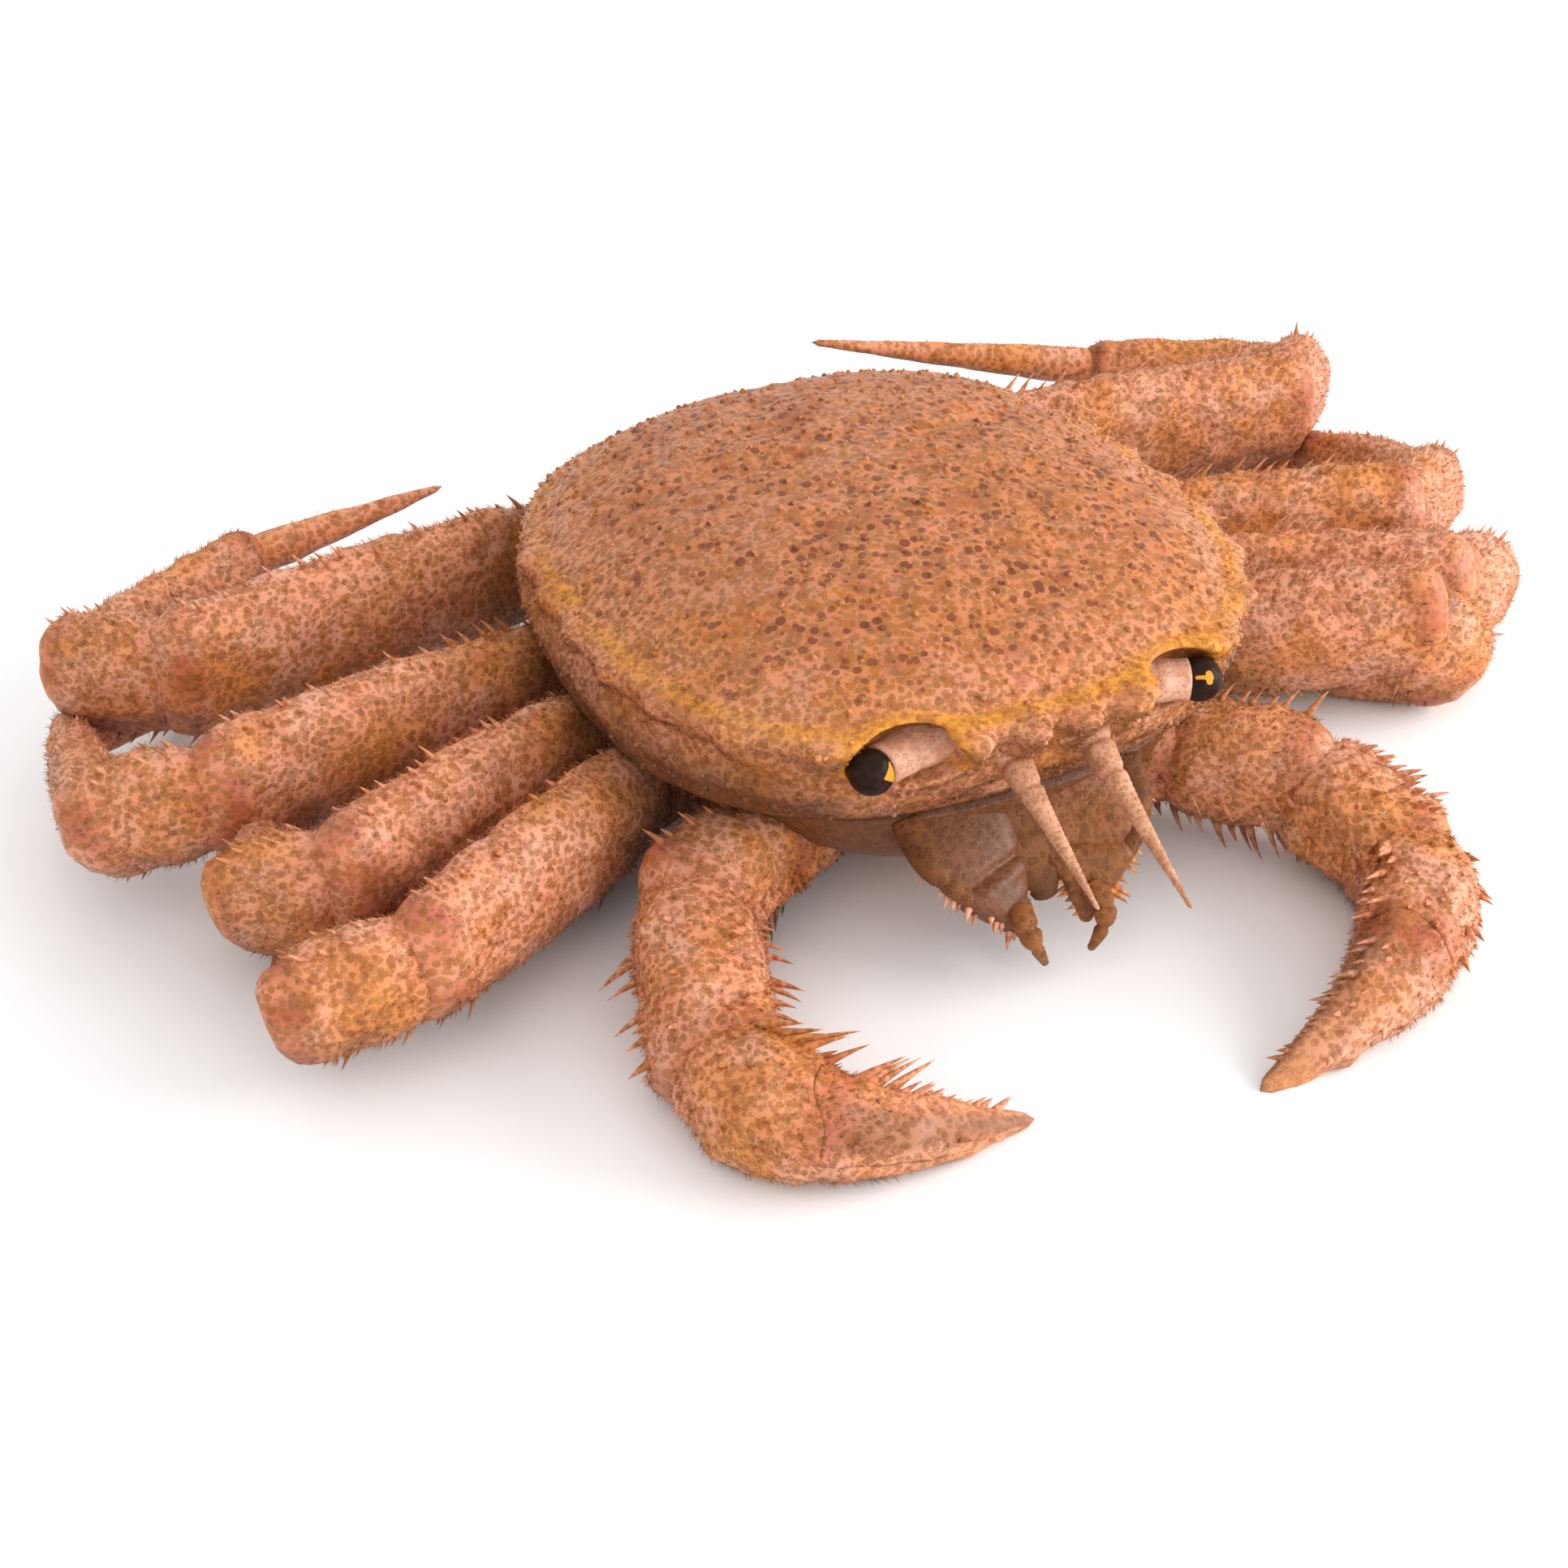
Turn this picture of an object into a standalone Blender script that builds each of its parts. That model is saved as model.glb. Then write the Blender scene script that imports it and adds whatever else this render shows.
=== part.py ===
"""Horsehair crab, life size: a still model that rests low on its folded legs, with both claws
closed and drawn round in front of its mouth.

Every size here is in millimetres, in the crab's own frame: +X is the crab's left, -Y is ahead
of it, and it rests on z = 0. The finished meshes are in metres, with the origin on the floor
below the middle of the whole model.
"""

import math
import random
from dataclasses import dataclass

import bmesh
import bpy
from mathutils import Vector

METRES = 0.001
GAP = 0.3
SPINE_ROOM = 0.8
LOWEST_SPINE = 0.4
UP = Vector((0.0, 0.0, 1.0))
SEED = 20

# Carapace: its outline along the ridge seen from above, and its heights.
CARAPACE_LENGTH = 98.0
FRONT_REACH = 50.0
REAR_REACH = CARAPACE_LENGTH - FRONT_REACH
CARAPACE_WIDTH = 89.0
OUTLINE_POWER = 2.6
AROUND = 44
CROWN_HEIGHT = 46.5
RIDGE_HEIGHT = 32.5
RIDGE_RISE = 3.5
WALL_FOOT = 21.5
WALL_BULGE = 27.0
WALL_EDGE = 0.5
DOME_STEPS = (0.96, 0.88, 0.76, 0.6, 0.42, 0.2)
DOME_ROUND = 2.4
DOME_FULL = 0.75

# Rings of the wall and of the lower body: the shares of the outline's width, of its reach ahead
# and of its reach behind, from the lowest ring upwards.
WALL_SHARES = ((0.93, 0.86, 0.92), (1.035, 0.91, 0.97), (1.055, 0.96, 1.0), (1.0, 1.0, 1.0))
BODY_SHARES = ((0.52, 0.66, 0.58), (0.64, 0.76, 0.70), (0.82, 0.88, 0.82), (0.90, 0.90, 0.88))

# The lower body, which carries the limbs.
BODY_TOP = WALL_FOOT - WALL_EDGE - GAP
BODY_FOOT = 5.0
BODY_RISES = (3.0, 9.5)

# Teeth on the ridge: the turns of the large ones in degrees, then the small ones behind them.
LARGE_TEETH = (33, 46, 59, 72, 85, 98, 111)
LARGE_TOOTH = (3.0, 3.8)
LARGE_TOOTH_WIDTH = 3.4
SMALL_TEETH = 8
SMALL_TEETH_FROM = 119
SMALL_TEETH_APART = 7.6
SMALL_TOOTH = (1.6, 2.6)
SMALL_TOOTH_WIDTH = 1.7

# The front: teeth between the eyes, sockets, eyes, stalks and feelers.
FRONT_TEETH = (3.6, 11.6)
FRONT_TOOTH = 5.2
FRONT_TOOTH_WIDTH = 5.6
FRONT_TOOTH_HEIGHT = 37.4
FRONT_TOOTH_SUNK = 2.2
EYE = Vector((23.2, -46.6, 32.6))
EYE_RADIUS = 2.9
EYE_FACETS = (14, 10)
STALK_FOOT = Vector((12.5, -42.5, 32.8))
STALK_SECTIONS = ((0.0, 4.6, 4.4), (0.5, 3.8, 3.6), (0.76, 3.6, 3.4))
SOCKET = Vector((18.8, -48.2, 33.6))
SOCKET_SIZE = Vector((8.2, 7.0, 5.4))
FEELERS = {
    1: (Vector((6.4, -44.5, 31.5)), Vector((7.0, -72.0, 20.5))),
    -1: (Vector((-4.8, -44.5, 31.5)), Vector((-4.2, -69.0, 22.0))),
}
FEELER_CLEAR = (((0.99, 0.965, 0.99), 12.0), ((1.06, 1.006, 1.0), 37.5))
FEELER_SECTIONS = ((0.0, 5.0, 5.0), (0.2, 3.8, 3.8), (0.5, 2.4, 2.4), (1.0, 0.6, 0.6))

# The mouth's outer plates, on the left side, and the palp below each.
PLATE_PATH = (Vector((9.4, -41.0, 19.0)), Vector((7.6, -48.5, 13.0)), Vector((4.0, -55.0, 6.0)))
PLATE_SECTIONS = ((0.0, 15.6, 5.0), (0.3, 14.4, 5.0), (0.6, 11.4, 4.6), (0.85, 5.6, 3.4),
                  (1.0, 1.4, 1.2))
FRINGE_ROW = (0.2, 0.95, 7, 2.2, 1.3, 0.6)
PALP_FROM = 0.7
PALP_ANGLE = 250
PALP_LENGTH = 5.0
PALP_WIDTH = 3.0

# The tail plate: how far back, how high and how wide it is along its length, and its thickness.
PLEON_PATH = ((43.6, 19.6, 24), (42.2, 14, 23), (37.5, 8.2, 20), (30, 4.4, 17), (16, 3.3, 13),
              (0, 3.2, 9), (-14, 3.3, 4))
PLEON_THICK = 2.6
PLEON_BEVEL = 0.7

SHELL = (0.745, 0.322, 0.191)
UNDERSIDE = (0.42, 0.19, 0.10)
FEELER = (0.70, 0.36, 0.22)
EYE_BROWN = (0.03, 0.018, 0.014)


@dataclass(frozen=True)
class Tube:
    """An oval tube along a straight or bowed path. A section is its share of the way along,
    its width and its height. The blunt end reaches past the last point by its own length."""

    path: tuple
    sections: tuple
    blunt: float = 0.0
    sides: int = 10
    power: float = 2.4

    def point(self, along):
        """A place on the middle line, which bows where the path has three points."""
        if len(self.path) == 2:
            return self.path[0].lerp(self.path[1], along)
        start, middle, end = self.path
        pull = 2 * middle - (start + end) / 2
        return start.lerp(pull, along).lerp(pull.lerp(end, along), along)

    def axes(self, along):
        """The tube's direction there, the side that is level, and the side nearest to up."""
        ahead = (self.point(along + 0.01) - self.point(along - 0.01)).normalized()
        across = ahead.cross(UP).normalized()
        return ahead, across, across.cross(ahead)

    def size(self, along):
        """The width and height there, between the two sections beside it."""
        for (a, wide, high), (b, wider, higher) in zip(self.sections, self.sections[1:]):
            if along <= b:
                share = (along - a) / (b - a)
                return wide + (wider - wide) * share, high + (higher - high) * share
        return self.sections[-1][1:]

    def skin(self, along, angle, size=None, past=0.0):
        """The point of the surface at this angle round the tube, from the level side."""
        ahead, across, upward = self.axes(along)
        wide, high = size or self.size(along)
        c, s = math.cos(angle), math.sin(angle)
        c, s = (math.copysign(abs(v) ** (2 / self.power), v) for v in (c, s))
        return self.point(along) + ahead * past + across * (wide / 2 * c) + upward * (high / 2 * s)

    def rings(self, grow=0.0):
        """The rings of the tube, each thicker by grow all round."""
        rings = []
        angles = [math.tau * (i + 0.5) / self.sides for i in range(self.sides)]

        def add(along, scale, past):
            size = [side * scale + 2 * grow for side in self.size(along)]
            rings.append([self.skin(along, angle, size, past) for angle in angles])

        for along, _, _ in self.sections:
            at_end = along == 1.0 and not self.blunt
            add(along, 1.0, (-grow if along == 0.0 else grow if at_end else 0.0))
        if self.blunt:
            add(1.0, 0.84, 0.6 * self.blunt + grow)
            add(1.0, 0.45, self.blunt + grow)
        return rings

    def holds(self, place, room):
        """Whether a place is inside the tube, or nearer to its side than the room."""
        steps = [number / 12 for number in range(13)]
        along = min(steps, key=lambda step: (self.point(step) - place).length_squared)
        ahead, across, upward = self.axes(along)
        off = place - self.point(along)
        if abs(off.dot(ahead)) > self.blunt + room:
            return False
        wide, high = self.size(along)
        share_across = abs(off.dot(across)) / (wide / 2 + room)
        share_up = abs(off.dot(upward)) / (high / 2 + room)
        return share_across**self.power + share_up**self.power < 1

    def near(self, other):
        """Whether another tube may touch this one."""
        steps = [number / 8 for number in range(9)]
        reach = (max(self.sections[1][1:]) + max(other.sections[1][1:])) / 2 + self.blunt + GAP
        return any(
            (self.point(a) - other.point(b)).length < reach for a in steps for b in steps
        )


@dataclass(frozen=True)
class Spine:
    """A tapered spine whose root is sunk below the surface that it stands on."""

    foot: Vector
    lean: Vector
    length: float
    width: float

    SUNK = 1.3
    SIDES = 5

    def clear_of(self, tubes):
        """Whether the spine stays outside these tubes from its foot to its tip."""
        reach = self.lean.normalized() * self.length
        places = [self.foot + reach * share for share in (0.0, 0.35, 0.7, 1.0)]
        return not any(tube.holds(place, SPINE_ROOM) for tube in tubes for place in places)

    def rings_and_tip(self):
        lean = self.lean.normalized()
        side = lean.orthogonal().normalized()
        other = lean.cross(side)
        base = self.foot - lean * self.SUNK
        turn = [math.tau * i / self.SIDES for i in range(self.SIDES)]
        ring = [base + (side * math.cos(a) + other * math.sin(a)) * self.width / 2 for a in turn]
        return ring, self.foot + lean * self.length


def loft(rings):
    """A closed mesh: the first ring is filled, and its face is extruded through the others."""
    bm = bmesh.new()
    face = bm.faces.new([bm.verts.new(point) for point in rings[0]])
    for number, ring in enumerate(rings[1:]):
        made = bmesh.ops.extrude_face_region(bm, geom=[face])["geom"]
        fresh = next(item for item in made if isinstance(item, bmesh.types.BMFace))
        for vert, point in zip(fresh.verts, ring):
            vert.co = point
        if number:
            bm.faces.remove(face)
        face = fresh
    return facing_out(bm)


def facing_out(bm):
    """The closed mesh in triangles, with all its faces turned outwards."""
    bmesh.ops.triangulate(bm, faces=bm.faces)
    bmesh.ops.recalc_face_normals(bm, faces=bm.faces)
    if bm.calc_volume(signed=True) < 0:
        bmesh.ops.reverse_faces(bm, faces=bm.faces)
    return bm


def cone(spine):
    """A closed cone for a spine."""
    ring, tip = spine.rings_and_tip()
    bm = bmesh.new()
    face = bm.faces.new([bm.verts.new(point) for point in ring])
    made = bmesh.ops.extrude_face_region(bm, geom=[face])["geom"]
    verts = [item for item in made if isinstance(item, bmesh.types.BMVert)]
    bmesh.ops.pointmerge(bm, verts=verts, merge_co=tip)
    return facing_out(bm)


def ball(centre, size, around=14, rows=9):
    """A closed ellipsoid of these three radii."""
    bm = bmesh.new()
    bmesh.ops.create_uvsphere(bm, u_segments=around, v_segments=rows, radius=1.0)
    bmesh.ops.scale(bm, vec=size, verts=bm.verts)
    bmesh.ops.translate(bm, vec=centre, verts=bm.verts)
    return facing_out(bm)


def block(corner, axes, size):
    """A closed box from a corner, along three directions."""
    bm = bmesh.new()
    bmesh.ops.create_cube(bm, size=1.0)
    for vert in bm.verts:
        share = vert.co + Vector((0.5, 0.5, 0.5))
        vert.co = corner + sum((a * s * length for a, s, length in zip(axes, share, size)), Vector())
    return facing_out(bm)


def add_object(name, bm):
    """An object in the scene that holds the mesh."""
    mesh = bpy.data.meshes.new(name)
    bm.to_mesh(mesh)
    bm.free()
    obj = bpy.data.objects.new(name, mesh)
    bpy.context.scene.collection.objects.link(obj)
    return obj


def remove(objects):
    """Takes helper objects out of the file, with their meshes."""
    for obj in list(objects):
        mesh = obj.data
        bpy.data.objects.remove(obj)
        bpy.data.meshes.remove(mesh)


def combine(obj, operation, shapes, solver="EXACT"):
    """Applies one Boolean between the object and closed meshes, which are used up."""
    if not shapes:
        return
    helpers = bpy.data.collections.new("helpers")
    bpy.context.scene.collection.children.link(helpers)
    for shape in shapes:
        mesh = bpy.data.meshes.new("helper")
        shape.to_mesh(mesh)
        shape.free()
        helpers.objects.link(bpy.data.objects.new("helper", mesh))
    modifier = obj.modifiers.new("shape", "BOOLEAN")
    modifier.operation = operation
    modifier.operand_type = "COLLECTION"
    modifier.collection = helpers
    modifier.solver = solver
    bpy.context.view_layer.objects.active = obj
    bpy.ops.object.modifier_apply(modifier=modifier.name)
    remove(helpers.objects)
    bpy.data.collections.remove(helpers)


def keep_largest(obj):
    """Leaves only the closed surface that holds the most."""
    bm = bmesh.new()
    bm.from_mesh(obj.data)
    left = set(bm.faces)
    islands = []
    while left:
        island = {left.pop()}
        edge_of_it = list(island)
        while edge_of_it:
            face = edge_of_it.pop()
            for edge in face.edges:
                for other in edge.link_faces:
                    if other in left:
                        left.discard(other)
                        island.add(other)
                        edge_of_it.append(other)
        islands.append(island)

    def volume(island):
        total = 0.0
        for face in island:
            corners = [vert.co for vert in face.verts]
            for a, b in zip(corners[1:], corners[2:]):
                total += corners[0].dot(a.cross(b)) / 6
        return abs(total)

    islands.sort(key=volume)
    bmesh.ops.delete(bm, geom=[face for island in islands[:-1] for face in island], context="FACES")
    if bm.calc_volume(signed=True) < 0:
        bmesh.ops.reverse_faces(bm, faces=bm.faces)
    bm.to_mesh(obj.data)
    bm.free()


def flatten_foot(obj):
    """Cuts off what would be below the floor, and fills the cut with a small flat."""
    if min(vert.co.z for vert in obj.data.vertices) >= 0.0:
        return
    bm = bmesh.new()
    bm.from_mesh(obj.data)
    everything = bm.verts[:] + bm.edges[:] + bm.faces[:]
    bmesh.ops.bisect_plane(bm, geom=everything, plane_co=(0, 0, 0), plane_no=UP, clear_inner=True)
    bmesh.ops.holes_fill(bm, edges=[edge for edge in bm.edges if edge.is_boundary])
    facing_out(bm).to_mesh(obj.data)
    bm.free()


def finish(obj, spines=(), cutters=()):
    """Cuts the node clear of its neighbours, fuses its spines and leaves one closed surface."""
    for cutter in cutters:
        combine(obj, "DIFFERENCE", [cutter])
    keep_largest(obj)
    flatten_foot(obj)
    clear = [s for s in spines if (s.foot + s.lean.normalized() * s.length).z > LOWEST_SPINE]
    combine(obj, "UNION", [cone(spine) for spine in clear], "MANIFOLD")
    keep_largest(obj)


# The carapace and the lower body.


def outline(turn, side, front, rear):
    """A point of the body's outline. The turn is from straight ahead, towards the left, and the
    shares widen or narrow the ridge's outline at the sides, ahead and behind."""
    c, s = math.cos(turn), math.sin(turn)
    half_length = FRONT_REACH * front if c > 0 else REAR_REACH * rear
    half_width = CARAPACE_WIDTH / 2 * side
    reach = (abs(s) / half_width) ** OUTLINE_POWER + (abs(c) / half_length) ** OUTLINE_POWER
    reach = reach ** (-1 / OUTLINE_POWER)
    return Vector((reach * s, -reach * c, 0.0))


def outline_ring(side, front, rear, height):
    """A ring round the body. The height is a number, or a rule of the turn."""
    turns = [math.tau * (i + 0.5) / AROUND for i in range(AROUND)]
    level = height if callable(height) else lambda turn: height
    return [outline(turn, side, front, rear) + UP * level(turn) for turn in turns]


def ridge_height(turn):
    return RIDGE_HEIGHT + RIDGE_RISE * math.cos(turn)


def dome_height(step, turn):
    """The height of the back where the outline is shrunk to this share."""
    ridge = ridge_height(turn)
    return ridge + (CROWN_HEIGHT - ridge) * (1 - step**DOME_ROUND) ** DOME_FULL


def rings_of(shares, levels, grow):
    """Rings round the body from their shares of the outline, each wider by grow all round."""
    more = grow / (CARAPACE_WIDTH / 2)
    return [outline_ring(*(share + more for share in row), level) for row, level in zip(shares, levels)]


def wall_rings(grow=0.0):
    """The side wall, from the foot that faces the limbs up to the ridge."""
    levels = (WALL_FOOT - WALL_EDGE - grow, WALL_FOOT + WALL_EDGE - grow, WALL_BULGE, ridge_height)
    return rings_of(WALL_SHARES, levels, grow)


def carapace_rings():
    rings = wall_rings()
    for step in DOME_STEPS:
        rings.append(outline_ring(step, step, step, lambda turn, s=step: dome_height(s, turn)))
    return rings


def body_rings(grow=0.0):
    """The lower body, which narrows downwards to the breastplate."""
    rises = [BODY_FOOT + rise for rise in BODY_RISES]
    return rings_of(BODY_SHARES, (BODY_FOOT - grow, *rises, BODY_TOP + grow), grow)


def mirrored(point, side):
    return Vector((point.x * side, point.y, point.z))


def margin_teeth(side, draw):
    """Teeth along the ridge from the outer corner of the eye, with smaller spines behind."""
    spines = []
    for degrees in LARGE_TEETH:
        turn = math.radians(degrees) * side
        foot = outline(turn, 1, 1, 1) + UP * ridge_height(turn)
        out = Vector((foot.x * 1.1, foot.y, 0)).normalized() + Vector((0, -0.45, 0.12))
        spines.append(Spine(foot, out, draw.uniform(*LARGE_TOOTH), LARGE_TOOTH_WIDTH))
    for number in range(SMALL_TEETH):
        turn = math.radians(SMALL_TEETH_FROM + SMALL_TEETH_APART * number) * side
        foot = outline(turn, 1, 1, 1) + UP * ridge_height(turn)
        out = Vector((foot.x, foot.y, 0)).normalized() + Vector((0, 0, 0.2))
        spines.append(Spine(foot, out, draw.uniform(*SMALL_TOOTH), SMALL_TOOTH_WIDTH))
    return spines


def build_carapace():
    draw = random.Random(SEED)
    obj = add_object("carapace", loft(carapace_rings()))
    spines = []
    for side in (-1, 1):
        eye_room = Vector([EYE_RADIUS + GAP] * 3)
        combine(obj, "DIFFERENCE", [ball(mirrored(SOCKET, side), SOCKET_SIZE)])
        combine(obj, "DIFFERENCE", [ball(mirrored(EYE, side), eye_room)])
        spines += margin_teeth(side, draw)
        for across in FRONT_TEETH:
            foot = Vector((across * side, FRONT_TOOTH_SUNK - FRONT_REACH, FRONT_TOOTH_HEIGHT))
            ahead = Vector((0.12 * side, -1, 0.05))
            spines.append(Spine(foot, ahead, FRONT_TOOTH, FRONT_TOOTH_WIDTH))
        stalk = Tube((mirrored(STALK_FOOT, side), mirrored(EYE, side)), STALK_SECTIONS, sides=8)
        shape = add_object("stalk", loft(stalk.rings()))
        combine(shape, "DIFFERENCE", [ball(mirrored(EYE, side), eye_room)])
        bm = bmesh.new()
        bm.from_mesh(shape.data)
        remove([shape])
        combine(obj, "UNION", [bm], "MANIFOLD")
    finish(obj, spines)
    return obj


def pleon_rings(grow=0.0):
    """The tail plate, folded under the body: a strip from behind that tapers forwards."""
    thick = PLEON_THICK / 2 + grow
    last = len(PLEON_PATH) - 1
    rings = []
    for number, (y, z, width) in enumerate(PLEON_PATH):
        before = PLEON_PATH[max(number - 1, 0)]
        after = PLEON_PATH[min(number + 1, last)]
        along = Vector((0, after[0] - before[0], after[1] - before[1])).normalized()
        out = along.cross(Vector((1, 0, 0)))
        ends = {0: -grow, last: grow}
        middle = Vector((0, y, z)) + along * ends.get(number, 0.0)
        half = width / 2 + grow
        inner = half * PLEON_BEVEL
        corners = ((half, -0.5), (inner, -1), (-inner, -1), (-half, -0.5),
                   (-half, 0.5), (-inner, 1), (inner, 1), (half, 0.5))
        rings.append([middle + Vector((x, 0, 0)) + out * (t * thick) for x, t in corners])
    return rings


# Limbs. Each segment has its length, and a heading and a pitch in degrees. A heading of 0 points
# straight out to the side, 90 backwards and -90 ahead, and a positive pitch points upwards.

SEGMENTS = ("hip", "merus", "carpus", "propodus", "dactyl")
CLAW_SEGMENTS = ("hip", "merus", "carpus", "palm", "finger")
UNDER_CARAPACE = ("hip", "merus")
UPPER_SEGMENTS = ("hip", "merus", "carpus")
CROSSED = ("hip", "merus", "carpus")

LEG_SECTIONS = {
    "hip": ((0.0, 9.0, 12.5), (1.0, 8.8, 12.5)),
    "merus": ((0.0, 8.6, 13.0), (0.16, 10.2, 16.4), (0.5, 11.4, 18.0), (1.0, 11.4, 16.6)),
    "carpus": ((0.0, 9.5, 13.0), (0.5, 12.0, 15.5), (1.0, 11.0, 14.0)),
    "propodus": ((0.0, 8.6, 11.0), (0.35, 9.2, 11.8), (0.75, 8.0, 9.6), (1.0, 6.6, 7.6)),
    "dactyl": ((0.0, 5.0, 6.0), (0.3, 5.0, 5.8), (0.7, 3.2, 3.6), (1.0, 0.6, 0.6)),
}
LEG_BLUNT = {"hip": 3.5, "merus": 4.5, "carpus": 4.5, "propodus": 2.6, "dactyl": 0.0}
CLAW_SECTIONS = {
    "hip": ((0.0, 13.5, 14.0), (1.0, 14.5, 15.0)),
    "merus": ((0.0, 14.0, 15.0), (0.5, 15.2, 16.6), (1.0, 14.4, 16.0)),
    "carpus": ((0.0, 12.0, 13.0), (0.3, 16.0, 16.0), (1.0, 16.2, 15.6)),
    "palm": ((0.0, 12.0, 12.0), (0.16, 15.0, 15.6), (0.34, 14.8, 15.4), (0.52, 12.4, 12.6),
             (0.68, 9.4, 9.6), (0.84, 6.0, 6.2), (0.96, 2.4, 2.6), (1.0, 0.9, 1.0)),
}
CLAW_BLUNT = {"hip": 4.0, "merus": 4.5, "carpus": 4.5, "palm": 0.0}
FINGER_FROM = 0.5
FINGER_ROOM = (60.0, 80.0, 40.0)

# Rows of spines along a segment: the angle round it, where the row starts and ends, the number
# of spines and their length. A claw's angles are from the side that faces the mouth, upwards.
LEG_SPINES = {
    "merus": ((90, 0.15, 1.0, 7, 2.2), (270, 0.2, 1.0, 5, 2.4)),
    "carpus": ((90, 0.2, 1.0, 3, 2.2), (270, 0.3, 1.0, 2, 2.4)),
    "propodus": ((90, 0.15, 0.95, 4, 1.6),),
}
CLAW_SPINES = {
    "merus": ((-56, 0.0, 1.0, 6, 3.6), (0, 0.0, 1.0, 5, 3.8), (115, 0.5, 1.0, 3, 3.2)),
    "carpus": ((0, 0.1, 1.0, 5, 3.6), (90, 0.15, 1.0, 3, 1.4), (60, 0.2, 1.0, 3, 1.4),
               (120, 0.2, 1.0, 3, 1.4)),
    "palm": ((50, 0.08, 0.46, 6, 3.4), (165, 0.05, 0.5, 6, 2.2), (165, 0.55, 0.9, 3, 1.6),
             (85, 0.1, 0.46, 4, 1.2), (-75, 0.1, 0.9, 5, 1.6)),
    "finger": ((55, 0.57, 0.76, 5, 2.8), (55, 0.76, 0.94, 4, 1.5)),
}
OUTER_CARPUS_ROW = (0.1, 1.0, 5, 3.4)
OUTER_CARPUS_ANGLE = {1: 145, -1: 180}
SPINE_WIDTH = 1.5


@dataclass(frozen=True)
class Limb:
    """A limb's root, the length, heading and pitch of each segment on each side, and how much
    taller its segments are than the table says."""

    root: Vector
    right: tuple
    left: tuple
    tall: float = 1.0

    def joints(self, side):
        """The joints from the root to the tip. The side is 1 on the left and -1 on the right."""
        points = [mirrored(self.root, side)]
        for length, heading, pitch in self.left if side > 0 else self.right:
            heading, pitch = math.radians(heading), math.radians(pitch)
            level = math.cos(pitch)
            step = Vector((math.cos(heading) * level * side, math.sin(heading) * level, math.sin(pitch)))
            points.append(points[-1] + step * length)
        return points


LEGS = {
    1: Limb(
        Vector((24, -9, 12)),
        right=((15.5, -18, 4), (45, -31, 2.5), (16, 0, -8), (27, 140, -17), (30, 150, -8.8)),
        left=((14, -18, 4), (39.5, -22, 5), (11.5, -8, -54), (25, 146, -2), (27, 158, -9)),
    ),
    2: Limb(
        Vector((26, 2.5, 12)),
        right=((15.5, -13, 5), (46, -26, 5), (13.5, 24, -18), (28, 112, -16), (31, 138, -10.4)),
        left=((16, -13, 4), (47, -26, 3), (15, 22, -26), (28, 110, -11), (32, 138, -6.4)),
    ),
    3: Limb(
        Vector((25, 14, 12.5)),
        right=((15.5, 2, 6), (54, -15, 5), (16.5, 14, -11), (30, 92, -14), (34, 146, -14.4)),
        left=((15, 0, 4), (52, -18, 2), (16.5, 30, -12), (29, 96, -14), (33, 146, -8.4)),
    ),
    4: Limb(
        Vector((18, 32, 13)),
        right=((17, 38, 9), (61.5, -13, 3.4), (15.5, 34, -6), (31, 152, 5), (34, 166, 0)),
        left=((17, 38, 8), (63, -8, 0.5), (15, 46, -10), (35, 158, 6), (51, 168, 11.5)),
        tall=1.1,
    ),
}
CLAW = Limb(
    Vector((15, -23, 12)),
    right=((15.8, -24, -2.2), (15, -24, -2.2), (25.5, -75, -8), (16.5, -118, -3), (26.5, -171, -13)),
    left=((17.5, -42, -0.3), (18.3, -42, -0.3), (17.4, -70, -16), (20.2, -126, -2), (26.2, -165, -14)),
)


def leg_tubes(limb, side):
    joints = limb.joints(side)
    tubes = {}
    for name, start, end in zip(SEGMENTS, joints, joints[1:]):
        tall = limb.tall if name in UPPER_SEGMENTS else 1.0
        sections = tuple((along, wide, high * tall) for along, wide, high in LEG_SECTIONS[name])
        tubes[name] = Tube((start, end), sections, LEG_BLUNT[name])
    return tubes


def claw_tubes(side):
    joints = CLAW.joints(side)
    tubes = {}
    for name, start, end in zip(CLAW_SEGMENTS[:3], joints, joints[1:]):
        tubes[name] = Tube((start, end), CLAW_SECTIONS[name], CLAW_BLUNT[name], sides=12)
    tubes["palm"] = Tube(tuple(joints[3:]), CLAW_SECTIONS["palm"], sides=12)
    return tubes


def spine_row(tube, draw, angle, first, last, count, length, width, lean=0.7, spread=12):
    """Spines in a row along a tube, at an angle round it, leaning towards its far end."""
    spines = []
    for number in range(count):
        along = first + (last - first) * (number + draw.uniform(0.15, 0.85)) / count
        turn = math.radians(angle + draw.uniform(-spread, spread))
        foot = tube.skin(along, turn)
        ahead = tube.axes(along)[0]
        out = (foot - tube.point(along)).normalized()
        grown = length * draw.uniform(0.7, 1.2)
        spines.append(Spine(foot, out + ahead * lean, grown, width))
    return spines


def leg_spines(name, tube, draw):
    """The spiny edges above and below each segment of a walking leg."""
    found = []
    for angle, first, last, count, length in LEG_SPINES.get(name, ()):
        found += spine_row(tube, draw, angle, first, last, count, length, SPINE_WIDTH)
    return found


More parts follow.
